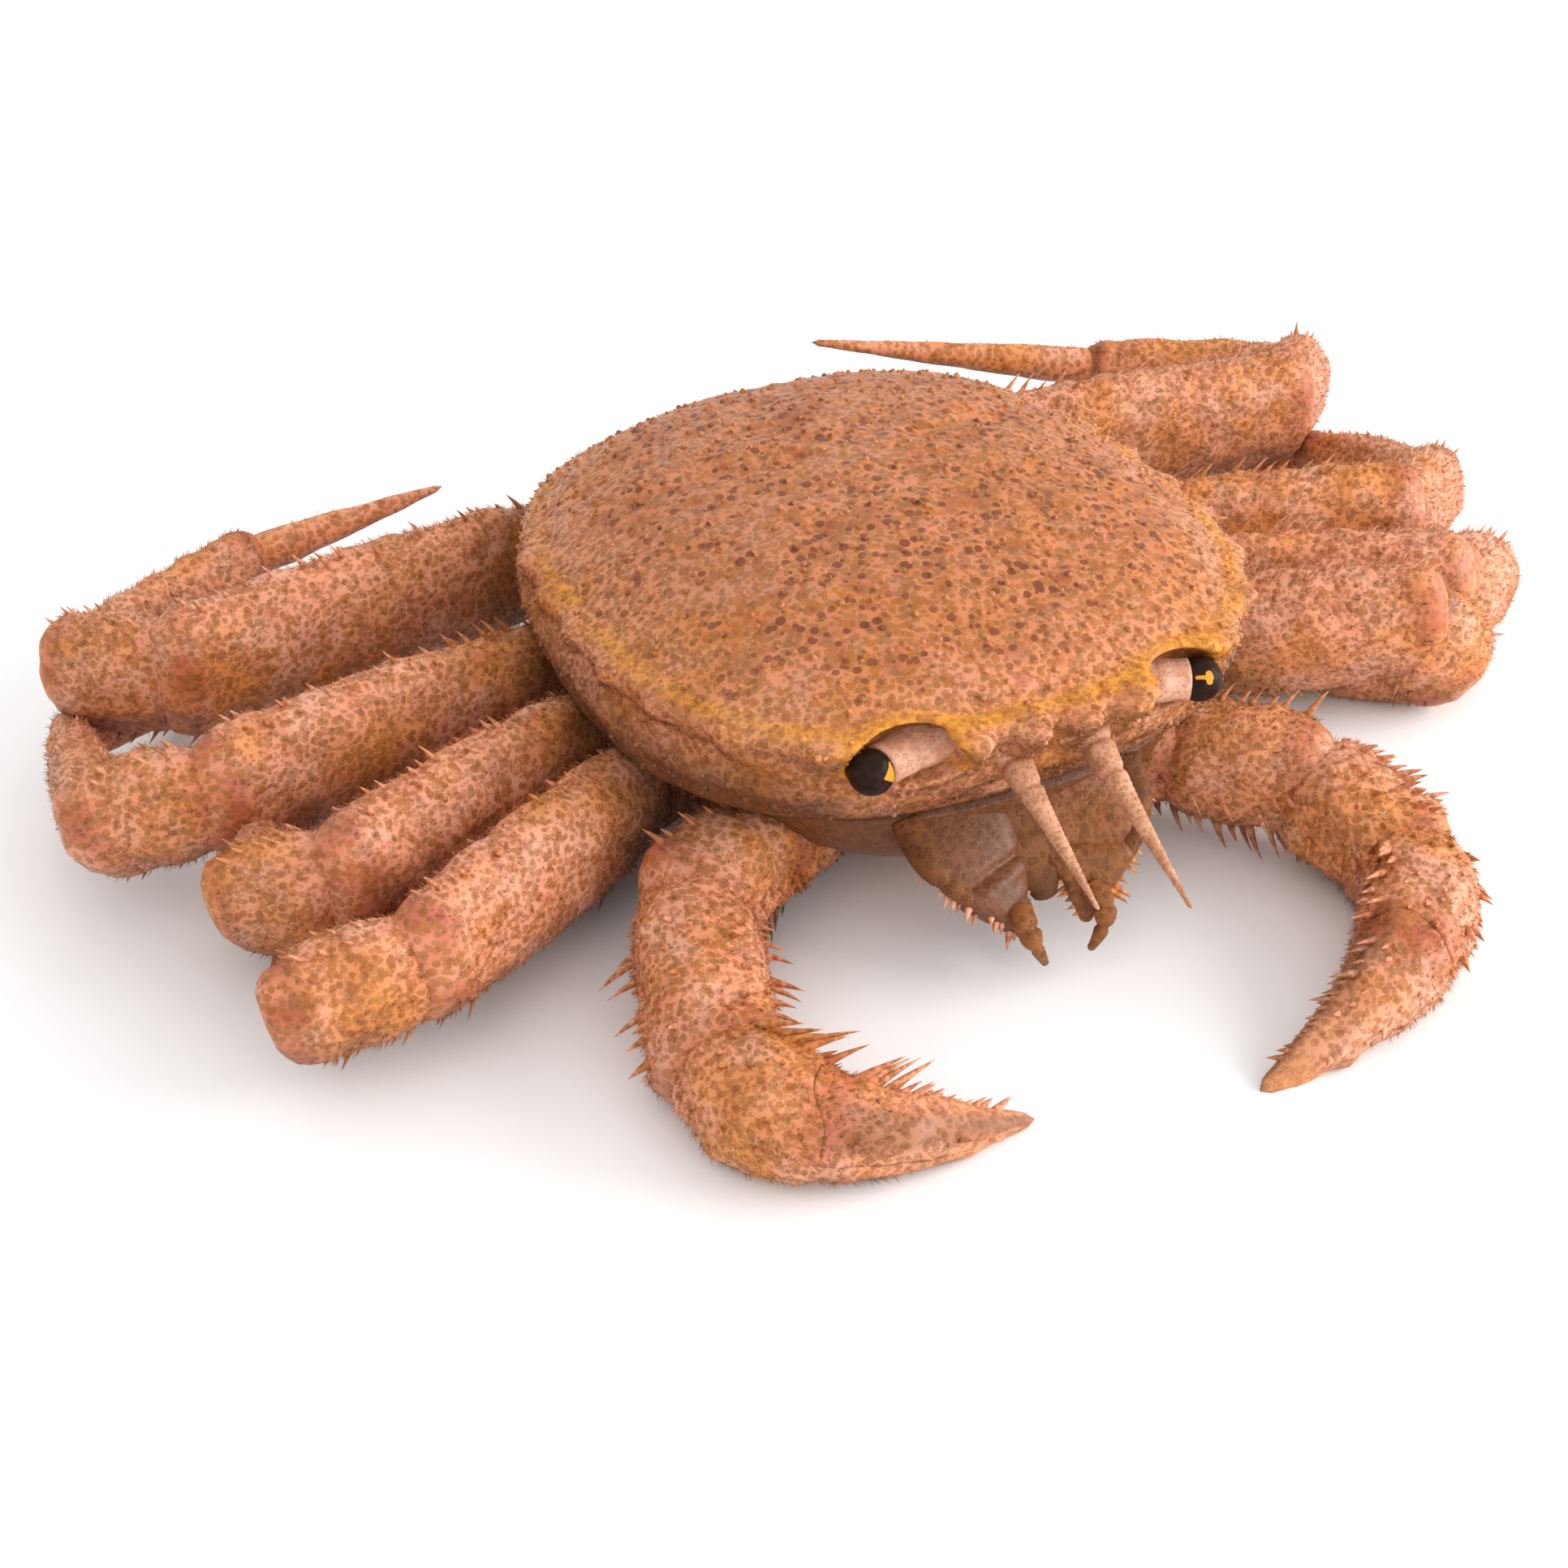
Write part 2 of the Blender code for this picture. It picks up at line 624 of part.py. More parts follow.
def build_leg(number, side, tubes, behind, everything):
    """The nodes of one walking leg. It is cut where the next leg lies over it, and its spines
    stay clear of every other tube."""
    letter = "l" if side > 0 else "r"
    draw = random.Random(SEED + number * 2 + (side > 0))
    parent = None
    nodes = []
    for name, tube in tubes.items():
        obj = add_object(f"leg_{number}_{letter}_{name}", loft(tube.rings()))
        before = body_rings(GAP) if parent is None else parent.rings(GAP)
        cutters = [loft(before)]
        if name in UNDER_CARAPACE:
            cutters += [loft(wall_rings(GAP)), loft(body_rings(GAP))]
        over = [behind[part] for part in CROSSED if part in behind]
        if name == "propodus":
            over.append(tubes["merus"])
        cutters += [loft(other.rings(GAP)) for other in over if other.near(tube)]
        others = [other for other in everything if other is not tube]
        spines = [spine for spine in leg_spines(name, tube, draw) if spine.clear_of(others)]
        finish(obj, spines, cutters)
        nodes.append(obj)
        parent = tube
    return nodes


def finger_split(tube):
    """The middle of the cut between the fingers, and its directions: forward, level and up."""
    ahead = tube.axes(FINGER_FROM)[0]
    hinge = tube.point(FINGER_FROM)
    lift = (tube.point(1.0) - hinge).cross(ahead.cross(UP)).normalized()
    lift = lift if lift.z > 0 else -lift
    level = lift.cross(ahead).normalized()
    return hinge, (level.cross(lift), level, lift)


def finger_block(tube, gap):
    """A box round the movable finger, bigger than its share by the gap."""
    hinge, axes = finger_split(tube)
    forward, level, lift = axes
    corner = hinge - (forward + lift) * gap - level * FINGER_ROOM[1] / 2
    return block(corner, axes, FINGER_ROOM)


def claw_spines(name, tube, draw, side):
    """The spines of a claw's segments, whose angles are mirrored on the right side."""
    rows = list(CLAW_SPINES.get(name, ()))
    if name == "carpus":
        rows.insert(1, (OUTER_CARPUS_ANGLE[side], *OUTER_CARPUS_ROW))
    found = []
    for lift, first, last, count, length in rows:
        angle = lift if side > 0 else 180 - lift
        found += spine_row(tube, draw, angle, first, last, count, length, SPINE_WIDTH, 0.5)
    return found


def build_claw(side, tubes, everything):
    """The nodes of one claw limb. The palm ends in the fixed finger, below the movable one."""
    letter = "l" if side > 0 else "r"
    draw = random.Random(SEED + 30 + side)
    parent = None
    nodes = []
    for name, tube in tubes.items():
        obj = add_object(f"cheliped_{letter}_{name}", loft(tube.rings()))
        cutters = [loft(body_rings(GAP) if parent is None else parent.rings(GAP))]
        if name in UNDER_CARAPACE:
            cutters += [loft(wall_rings(GAP)), loft(body_rings(GAP))]
        if name == "palm":
            cutters.append(finger_block(tube, GAP / 2))
        others = [other for other in everything if other is not tube]
        spines = [spine for spine in claw_spines(name, tube, draw, side) if spine.clear_of(others)]
        if name == "palm":
            spines = [spine for spine in spines if clear_of_finger(spine, tube)]
        finish(obj, spines, cutters)
        nodes.append(obj)
        parent = tube
    finger = add_object(f"cheliped_{letter}_finger", loft(tubes["palm"].rings()))
    combine(finger, "INTERSECT", [finger_block(tubes["palm"], -GAP / 2)])
    finish(finger, claw_spines("finger", tubes["palm"], draw, side))
    nodes.append(finger)
    return nodes


def clear_of_finger(spine, tube):
    """Whether a spine of the palm stays out of the movable finger's room."""
    hinge, (forward, _, lift) = finger_split(tube)
    tip = spine.foot + spine.lean.normalized() * spine.length
    room = spine.width / 2 + GAP
    return all(
        (place - hinge).dot(forward) < -room or (place - hinge).dot(lift) < -room
        for place in (spine.foot, tip)
    )


def build_feeler(side):
    """The long feeler on one side. The two are held a little differently, as in life."""
    tube = Tube(FEELERS[side], FEELER_SECTIONS, sides=8)
    obj = add_object("antenna_" + ("l" if side > 0 else "r"), loft(tube.rings()))
    room = [outline_ring(*shares, level) for shares, level in FEELER_CLEAR]
    finish(obj, (), [loft(room)])
    return obj


def build_mouthpart(side):
    """The outer plate of the mouth on one side, with its fringe and its short palp."""
    plate = Tube(tuple(mirrored(point, side) for point in PLATE_PATH), PLATE_SECTIONS)
    draw = random.Random(SEED + 50 + side)
    obj = add_object("maxilliped_" + ("l" if side > 0 else "r"), loft(plate.rings()))
    outer = 0 if side < 0 else 180
    fringe = spine_row(plate, draw, outer, *FRINGE_ROW)
    palp_foot = plate.skin(PALP_FROM, math.radians(PALP_ANGLE))
    fringe.append(Spine(palp_foot, Vector((0.1 * side, -0.5, -1)), PALP_LENGTH, PALP_WIDTH))
    finish(obj, fringe, [loft(body_rings(GAP))])
    return obj


def build_all():
    carapace = build_carapace()
    body = add_object("sternum", loft(body_rings()))
    finish(body, (), [loft(pleon_rings(GAP))])
    pleon = add_object("pleon", loft(pleon_rings()))
    shell, under = [carapace], [body, pleon]
    eyes, feelers = [], []
    for side in (-1, 1):
        letter = "l" if side > 0 else "r"
        eye = ball(mirrored(EYE, side), Vector([EYE_RADIUS] * 3), *EYE_FACETS)
        eyes.append(add_object(f"eye_{letter}", eye))
        feelers.append(build_feeler(side))
        under.append(build_mouthpart(side))
        claw = claw_tubes(side)
        legs = {number: leg_tubes(LEGS[number], side) for number in LEGS}
        everything = [tube for limb in (claw, *legs.values()) for tube in limb.values()]
        shell += build_claw(side, claw, everything)
        for number, tubes in legs.items():
            shell += build_leg(number, side, tubes, legs.get(number + 1, {}), everything)
    return {
        "shell": (shell, SHELL, 0.55),
        "underside": (under, UNDERSIDE, 0.6),
        "feeler": (feelers, FEELER, 0.5),
        "eye": (eyes, EYE_BROWN, 0.12),
    }


def dress(groups):
    """Gives each node a material of its own in its group's colour."""
    for objects, colour, roughness in groups.values():
        for obj in objects:
            material = bpy.data.materials.new(obj.name)
            material.use_nodes = True
            shader = material.node_tree.nodes["Principled BSDF"]
            shader.inputs["Base Color"].default_value = (*colour, 1.0)
            shader.inputs["Roughness"].default_value = roughness
            shader.inputs["Metallic"].default_value = 0.0
            obj.data.materials.clear()
            obj.data.materials.append(material)


def place(objects):
    """Turns millimetres into metres, with the origin on the floor below the whole model."""
    points = [vert.co for obj in objects for vert in obj.data.vertices]
    middle = [(min(p[i] for p in points) + max(p[i] for p in points)) / 2 for i in (0, 1)]
    shift = Vector((middle[0], middle[1], 0.0))
    for obj in objects:
        for vert in obj.data.vertices:
            vert.co = (vert.co - shift) * METRES
        obj.data.shade_smooth()
        obj.data.set_sharp_from_angle(angle=math.radians(40))


def main():
    for obj in list(bpy.data.objects):
        bpy.data.objects.remove(obj)
    groups = build_all()
    dress(groups)
    place([obj for objects, _, _ in groups.values() for obj in objects])


if __name__ == "__main__":
    main()
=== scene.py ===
"""Horsehair crab, life size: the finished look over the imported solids.

The model is worked out in millimetres in the crab's own frame: +X is the crab's left, -Y is
ahead of it and the floor is z = 0. Each finished mesh is moved into the row's metres once.
"""

import logging
import math
from collections.abc import Callable, Sequence
from dataclasses import dataclass, field
from enum import Enum

import bmesh
import bpy
import numpy as np
from bpy.types import Material, Mesh, Node, NodeSocket, NodeTree, Object
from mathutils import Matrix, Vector

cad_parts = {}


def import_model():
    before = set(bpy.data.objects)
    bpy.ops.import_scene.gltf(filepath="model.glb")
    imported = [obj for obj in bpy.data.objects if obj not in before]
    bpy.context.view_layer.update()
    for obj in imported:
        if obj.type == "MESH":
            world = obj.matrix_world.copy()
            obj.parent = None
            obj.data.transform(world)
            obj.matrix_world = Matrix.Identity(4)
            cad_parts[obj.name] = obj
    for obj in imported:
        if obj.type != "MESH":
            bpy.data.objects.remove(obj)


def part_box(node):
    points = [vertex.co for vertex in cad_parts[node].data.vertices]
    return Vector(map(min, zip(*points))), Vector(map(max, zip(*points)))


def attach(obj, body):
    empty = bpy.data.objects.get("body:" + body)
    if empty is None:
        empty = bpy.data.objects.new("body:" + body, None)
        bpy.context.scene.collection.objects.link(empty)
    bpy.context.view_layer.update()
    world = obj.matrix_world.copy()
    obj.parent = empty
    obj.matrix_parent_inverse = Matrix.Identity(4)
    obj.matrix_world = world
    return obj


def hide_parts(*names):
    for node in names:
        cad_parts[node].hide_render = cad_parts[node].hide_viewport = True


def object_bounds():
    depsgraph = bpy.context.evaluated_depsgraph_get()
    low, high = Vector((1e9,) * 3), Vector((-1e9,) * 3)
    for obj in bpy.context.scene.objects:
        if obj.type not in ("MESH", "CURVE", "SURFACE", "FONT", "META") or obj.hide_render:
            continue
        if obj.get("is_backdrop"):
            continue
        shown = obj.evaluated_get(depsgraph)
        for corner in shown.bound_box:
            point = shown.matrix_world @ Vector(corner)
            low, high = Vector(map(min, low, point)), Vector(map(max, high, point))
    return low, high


LOG = logging.getLogger("crab")
Array = np.ndarray
MM = 0.001
UP = np.array((0.0, 0.0, 1.0))
SEED = 20

# The carapace's outline along its ridge, seen from above, and its heights.
FRONT_REACH = 50.0
REAR_REACH = 48.0
HALF_WIDTH = 44.5
OUTLINE_POWER = 2.6
CROWN_HEIGHT = 46.5
RIDGE_HEIGHT = 32.5
RIDGE_RISE = 3.5
WALL_BULGE = 27.0

# The eyes, their stalks and their sockets, on the left side.
EYE = np.array((23.2, -46.6, 32.6))
EYE_RADIUS = 2.9
STALK_FOOT = np.array((12.5, -42.5, 32.8))
STALK_SECTIONS = ((0.0, 8.6, 7.0), (0.35, 7.0, 5.8), (0.7, 5.5, 4.9), (0.9, 5.5, 5.3), (1.0, 5.5, 5.3))
SOCKET = np.array((18.8, -48.2, 33.6))
SOCKET_SIZE = np.array((7.7, 5.3, 4.5))

LEG_SEGMENTS = ("hip", "merus", "carpus", "propodus", "dactyl")
CLAW_SEGMENTS = ("hip", "merus", "carpus", "palm")
LAYERS = ("rim", "stain", "shade", "tip", "dusk")
LEG_SECTIONS = {
    "hip": ((0.0, 9.0, 12.5), (1.0, 8.8, 12.5)),
    "merus": ((0.0, 8.6, 13.0), (0.16, 10.2, 16.4), (0.5, 11.4, 18.0), (1.0, 11.4, 16.6)),
    "carpus": ((0.0, 9.5, 13.0), (0.5, 12.0, 15.5), (1.0, 11.0, 14.0)),
    "propodus": ((0.0, 8.6, 11.0), (0.35, 9.2, 11.8), (0.75, 8.0, 9.6), (1.0, 6.6, 7.6)),
    "dactyl": ((0.0, 5.0, 6.0), (0.2, 4.9, 5.6), (0.6, 3.0, 3.3), (0.85, 1.6, 1.7), (1.0, 0.5, 0.5)),
}
LEG_BLUNT = {"hip": 3.5, "merus": 4.5, "carpus": 4.5, "propodus": 2.6, "dactyl": 0.0}
CLAW_SECTIONS = {
    "hip": ((0.0, 13.5, 14.0), (1.0, 14.5, 15.0)),
    "merus": ((0.0, 14.0, 15.0), (0.5, 15.2, 16.6), (1.0, 14.4, 16.0)),
    "carpus": ((0.0, 12.0, 13.0), (0.3, 16.0, 16.0), (1.0, 16.2, 15.6)),
    "palm": ((0.0, 12.0, 12.0), (0.16, 15.0, 15.6), (0.34, 14.8, 15.4), (0.52, 12.4, 12.6),
             (0.68, 9.4, 9.6), (0.84, 6.0, 6.2), (0.96, 2.4, 2.6), (1.0, 0.9, 1.0)),
}
CLAW_BLUNT = {"hip": 4.0, "merus": 4.5, "carpus": 4.5, "palm": 0.0}
FINGER_FROM = 0.5

# Edges shorter than this, in millimetres, are closed up after a cut.
SLIVER = 0.004


class Side(Enum):
    """The crab's left and right, with the sign of x on each."""

    LEFT = 1
    RIGHT = -1

    @property
    def letter(self) -> str:
        """The letter that node names use for this side."""
        return "l" if self is Side.LEFT else "r"

    def of(self, point: Array) -> Array:
        """The left side's point, mirrored if this is the right side."""
        return np.asarray(point, float) * (self.value, 1.0, 1.0)


def unit(vectors: Array) -> Array:
    """The vectors scaled to a length of 1."""
    return vectors / np.maximum(np.linalg.norm(vectors, axis=-1, keepdims=True), 1e-9)


def soft_step(values: Array, start: float, end: float) -> Array:
    """A smooth rise from 0 at the start to 1 at the end.

    Args:
        values: The places to read.
        start: Where the rise begins.
        end: Where it is complete, which may be below the start.

    Returns:
        The height of the rise at each place.
    """
    share = np.clip((values - start) / (end - start), 0.0, 1.0)
    return share * share * (3.0 - 2.0 * share)


def hump(values: Array, middle: float, width: float) -> Array:
    """A bell of height 1 about the middle, which has fallen to a third at the width."""
    return np.exp(-(((values - middle) / width) ** 2))


def places_in(mesh: Mesh) -> Array:
    """The places of a mesh's points.

    Args:
        mesh: The mesh.

    Returns:
        One row of three a point.
    """
    places = np.empty(len(mesh.vertices) * 3)
    mesh.vertices.foreach_get("co", places)
    return places.reshape(-1, 3)


def to_mesh(bm: bmesh.types.BMesh, name: str) -> Mesh:
    """What was modelled, as a new mesh.

    Args:
        bm: The model, which is used up.
        name: The name of the mesh.

    Returns:
        The mesh.
    """
    mesh = bpy.data.meshes.new(name)
    bm.to_mesh(mesh)
    bm.free()
    return mesh


def add_object(name: str, data: object) -> Object:
    """A new object in the scene.

    Args:
        name: Its name.
        data: Its mesh, lamp or camera.

    Returns:
        The object.
    """
    made = bpy.data.objects.new(name, data)
    bpy.context.scene.collection.objects.link(made)
    return made


@dataclass(frozen=True)
class Ripple:
    """Smooth seeded unevenness, made of waves of about one wavelength in millimetres."""

    wavelength: float
    seed: int
    waves: int = 10

    def at(self, points: Array) -> Array:
        """The unevenness at each point, mostly between -1.5 and 1.5.

        Args:
            points: Places, as three columns.

        Returns:
            One value a point.
        """
        draw = np.random.default_rng(self.seed)
        ways = unit(draw.normal(size=(self.waves, 3))) * draw.uniform(0.7, 1.5, (self.waves, 1))
        phases = draw.uniform(0.0, math.tau, self.waves)
        turns = points @ ways.T * (math.tau / self.wavelength) + phases
        return np.sin(turns).sum(axis=1) / math.sqrt(self.waves)


@dataclass(frozen=True)
class Marks:
    """How strongly each marking shows at each point: the yellow rim, the red stain at a joint,
    the dark brown painted shade, the pale tip, the dusk of many dark spots, and the bareness,
    where no bristles grow."""

    rim: Array
    stain: Array
    shade: Array
    tip: Array
    dusk: Array
    bare: Array

    @classmethod
    def none(cls, count: int) -> "Marks":
        """No markings on this many points."""
        return cls(*(np.zeros(count) for _ in range(6)))

    def layers(self) -> dict[str, Array]:
        """The markings that the finishes read, by attribute name."""
        return {name: getattr(self, name) for name in LAYERS}


def table(places: Sequence[float], values: Sequence[float], blur: float) -> Callable:
    """A rounded line through values at places along a shape.

    Args:
        places: The shares along, rising from 0 to 1.
        values: The value at each.
        blur: How far the corners are rounded, as a share.

    Returns:
        A function of the share, which takes and gives arrays.
    """
    fine = np.linspace(-0.2, 1.2, 281)
    line = np.interp(fine, places, values)
    reach = max(int(3 * blur / 0.005), 1)
    kernel = np.exp(-((np.arange(-reach, reach + 1) * 0.005 / blur) ** 2))
    smooth = np.convolve(np.pad(line, reach, mode="edge"), kernel / kernel.sum(), "valid")
    return lambda share: np.interp(share, fine, smooth)


@dataclass(frozen=True)
class Tube:
    """An oval tube along a straight or bowed path. A section is its share of the way along,
    its width and its height, and the blunt end reaches past the last point."""

    path: Array
    sections: tuple
    blunt: float = 0.0
    power: float = 2.4
    blur: float = 0.035

    def point(self, along: Array) -> Array:
        """The places on the middle line, as three columns.

        Args:
            along: The shares of the way along.

        Returns:
            One place a share.
        """
        along = np.asarray(along, float)[..., None]
        if len(self.path) == 2:
            return self.path[0] + (self.path[1] - self.path[0]) * along
        if len(self.path) == 3:
            start, middle, end = self.path
            pull = 2 * middle - (start + end) / 2
            return start * (1 - along) ** 2 + pull * 2 * along * (1 - along) + end * along**2
        steps = np.linalg.norm(np.diff(self.path, axis=0), axis=1).cumsum()
        shares = np.concatenate(([0.0], steps / steps[-1]))
        lines = [table(shares, column, 0.05)(along[..., 0]) for column in self.path.T]
        return np.stack(lines, axis=-1)

    @property
    def length(self) -> float:
        """The length of the middle line in millimetres."""
        line = self.point(np.linspace(0.0, 1.0, 60))
        return float(np.linalg.norm(np.diff(line, axis=0), axis=1).sum())

    def axes(self, along: Array) -> tuple[Array, Array, Array]:
        """The tube's direction there, the side that is level, and the side nearest to up.

        Args:
            along: The shares of the way along.

        Returns:
            Three unit vectors a share.
        """
        along = np.asarray(along, float)
        ahead = unit(self.point(along + 0.01) - self.point(along - 0.01))
        across = unit(np.cross(ahead, UP))
        return ahead, across, np.cross(across, ahead)

    def size(self, along: Array) -> Array:
        """The width and the height there, as two columns.

        Args:
            along: The shares of the way along.

        Returns:
            One pair a share, in millimetres.
        """
        places, widths, heights = zip(*self.sections)
        pair = [table(places, values, self.blur)(along) for values in (widths, heights)]
        return np.stack(pair, axis=-1)

    def skin(
        self, along: Array, angle: Array, past: Array = 0.0,
        scale: Array = 1.0, swell: Array = 0.0,
    ) -> Array:
        """The points of the surface.

        Args:
            along: The share of the way along for each point.
            angle: The angle round the tube from its level side, in radians.
            past: How far past that place the point is moved, in millimetres.
            scale: How much of the full section is used.
            swell: How much thicker the tube is there, in millimetres.

        Returns:
            The points, as three columns.
        """
        along, angle = np.broadcast_arrays(np.asarray(along, float), np.asarray(angle, float))
        ahead, across, upward = self.axes(along)
        half = self.size(along) / 2 * np.asarray(scale)[..., None] + np.asarray(swell)[..., None]
        pull = 2 / self.power
        level = np.sign(np.cos(angle)) * np.abs(np.cos(angle)) ** pull * half[..., 0]
        rise = np.sign(np.sin(angle)) * np.abs(np.sin(angle)) ** pull * half[..., 1]
        middle = self.point(along) + ahead * np.asarray(past)[..., None]
        return middle + across * level[..., None] + upward * rise[..., None]

    def locate(self, points: Array) -> tuple[Array, Array, Array]:
        """Where points lie on the tube.

        Args:
            points: Points near its surface.

        Returns:
            The share along for each, the angle round it, and the distance from its start in
            millimetres, which passes the tube's length on the blunt end.
        """
        shares = np.linspace(0.0, 1.0, 121)
        line = self.point(shares)
        nearest = np.argmin(((points[:, None] - line[None]) ** 2).sum(axis=2), axis=1)
        along = shares[nearest]
        ahead, across, upward = self.axes(along)
        off = points - line[nearest]
        beyond = (off * ahead).sum(axis=1)
        half = np.maximum(self.size(along) / 2, 0.1)
        level = (off * across).sum(axis=1) / half[:, 0]
        rise = (off * upward).sum(axis=1) / half[:, 1]
        bend = self.power / 2
        angle = np.arctan2(
            np.sign(rise) * np.abs(rise) ** bend, np.sign(level) * np.abs(level) ** bend
        )
        return along, angle, along * self.length + beyond


@dataclass
class Surface:
    """A mesh read back as arrays, in millimetres."""

    points: Array
    normals: Array
    triangles: Array

    @classmethod
    def of(cls, mesh: Mesh) -> "Surface":
        """The arrays of a mesh that is still in millimetres. Blender may list its faces in
        another order each time, so the triangles are put in the order of their places.

        Args:
            mesh: The mesh.

        Returns:
            The surface.
        """
        points = places_in(mesh)
        normals = np.empty(points.size, np.float32)
        mesh.vertex_normals.foreach_get("vector", normals)
        mesh.calc_loop_triangles()
        triangles = np.empty(len(mesh.loop_triangles) * 3, np.int32)
        mesh.loop_triangles.foreach_get("vertices", triangles)
        triangles = triangles.reshape(-1, 3)
        middles = points[triangles].mean(axis=1).round(4)
        return cls(points, normals.reshape(-1, 3).astype(float), triangles[np.lexsort(middles.T)])

    def scatter(self, spacing: float, draw: np.random.Generator) -> tuple[Array, Array]:
        """Even random places on the surface.

        Args:
            spacing: About how far apart they are, in millimetres.
            draw: The source of chance.

        Returns:
            The places and the outward direction at each.
        """
        corners = self.points[self.triangles]
        areas = np.linalg.norm(
            np.cross(corners[:, 1] - corners[:, 0], corners[:, 2] - corners[:, 0]), axis=1) / 2
        count = int(areas.sum() / spacing**2 * 4)
        chosen = draw.choice(len(areas), count, p=areas / areas.sum())
        shares = draw.dirichlet((1.0, 1.0, 1.0), count)[:, :, None]
        places = (corners[chosen] * shares).sum(axis=1)
        normals = unit((self.normals[self.triangles[chosen]] * shares).sum(axis=1))
        cells = np.floor(places / spacing).astype(int)
        _, first = np.unique(cells, axis=0, return_index=True)
        return places[first], normals[first]


def ball_mesh(name: str, around: int, rows: int) -> tuple[Mesh, Array, Array]:
    """A closed ball whose points are then moved into a shape.

    Args:
        name: The name of the mesh.
        around: The number of points round it.
        rows: The number of steps from its lower pole to its upper one.

    Returns:
        The mesh, the angle of each point round the ball, and its row from the lower pole.
    """
    bm = bmesh.new()
    bmesh.ops.create_uvsphere(bm, u_segments=around, v_segments=rows, radius=1.0)
    mesh = to_mesh(bm, name)
    x, y, z = places_in(mesh).T
    row = np.rint((np.arcsin(np.clip(z, -1.0, 1.0)) / math.pi + 0.5) * rows).astype(int)
    return mesh, np.arctan2(y, x), row


def settle(mesh: Mesh, points: Array) -> Mesh:
    """Moves a mesh's points to new places, and turns its faces outwards.

    Args:
        mesh: The mesh, closed.
        points: The new place of each point.

    Returns:
        The same mesh.
    """
    mesh.vertices.foreach_set("co", np.ascontiguousarray(points, np.float32).ravel())
    mesh.update()
    bm = bmesh.new()
    bm.from_mesh(mesh)
    if bm.calc_volume(signed=True) < 0:
        bmesh.ops.reverse_faces(bm, faces=bm.faces)
    bm.to_mesh(mesh)
    bm.free()
    return mesh


def oval_mesh(name: str, centre: Array, radii: Array, around: int = 40) -> Mesh:
    """A closed ellipsoid of these three radii.

    Args:
        name: The name of the mesh.
        centre: Its middle.
        radii: Its three radii.
        around: The number of points round it.

    Returns:
        The mesh.
    """
    bm = bmesh.new()
    bmesh.ops.create_uvsphere(bm, u_segments=around, v_segments=around * 2 // 3, radius=1.0)
    bmesh.ops.scale(bm, vec=Vector(radii), verts=bm.verts)
    bmesh.ops.translate(bm, vec=Vector(centre), verts=bm.verts)
    return to_mesh(bm, name)


def cut(mesh: Mesh, other: Mesh, operation: str) -> Mesh:
    """Applies one Boolean between two closed meshes, and uses both up.

    Args:
        mesh: The mesh that is kept.
        other: The mesh that cuts it.
        operation: Either DIFFERENCE or INTERSECT.

    Returns:
        The mesh that is left.
    """
    kept, cutter = add_object("kept", mesh), add_object("cutter", other)
    modifier = kept.modifiers.new("shape", "BOOLEAN")
    modifier.operation = operation
    modifier.object = cutter
    modifier.solver = "MANIFOLD"
    bpy.context.view_layer.update()
    evaluated = kept.evaluated_get(bpy.context.evaluated_depsgraph_get())
    made = bpy.data.meshes.new_from_object(evaluated)
    for obj in (kept, cutter):
        bpy.data.objects.remove(obj)
    for used in (mesh, other):
        bpy.data.meshes.remove(used)
    bm = bmesh.new()
    bm.from_mesh(made)
    bmesh.ops.triangulate(bm, faces=bm.faces)
    bmesh.ops.remove_doubles(bm, verts=bm.verts, dist=SLIVER)
    bmesh.ops.dissolve_degenerate(bm, edges=bm.edges, dist=SLIVER)
    bm.to_mesh(made)
    bm.free()
    made.shade_smooth()
    return made


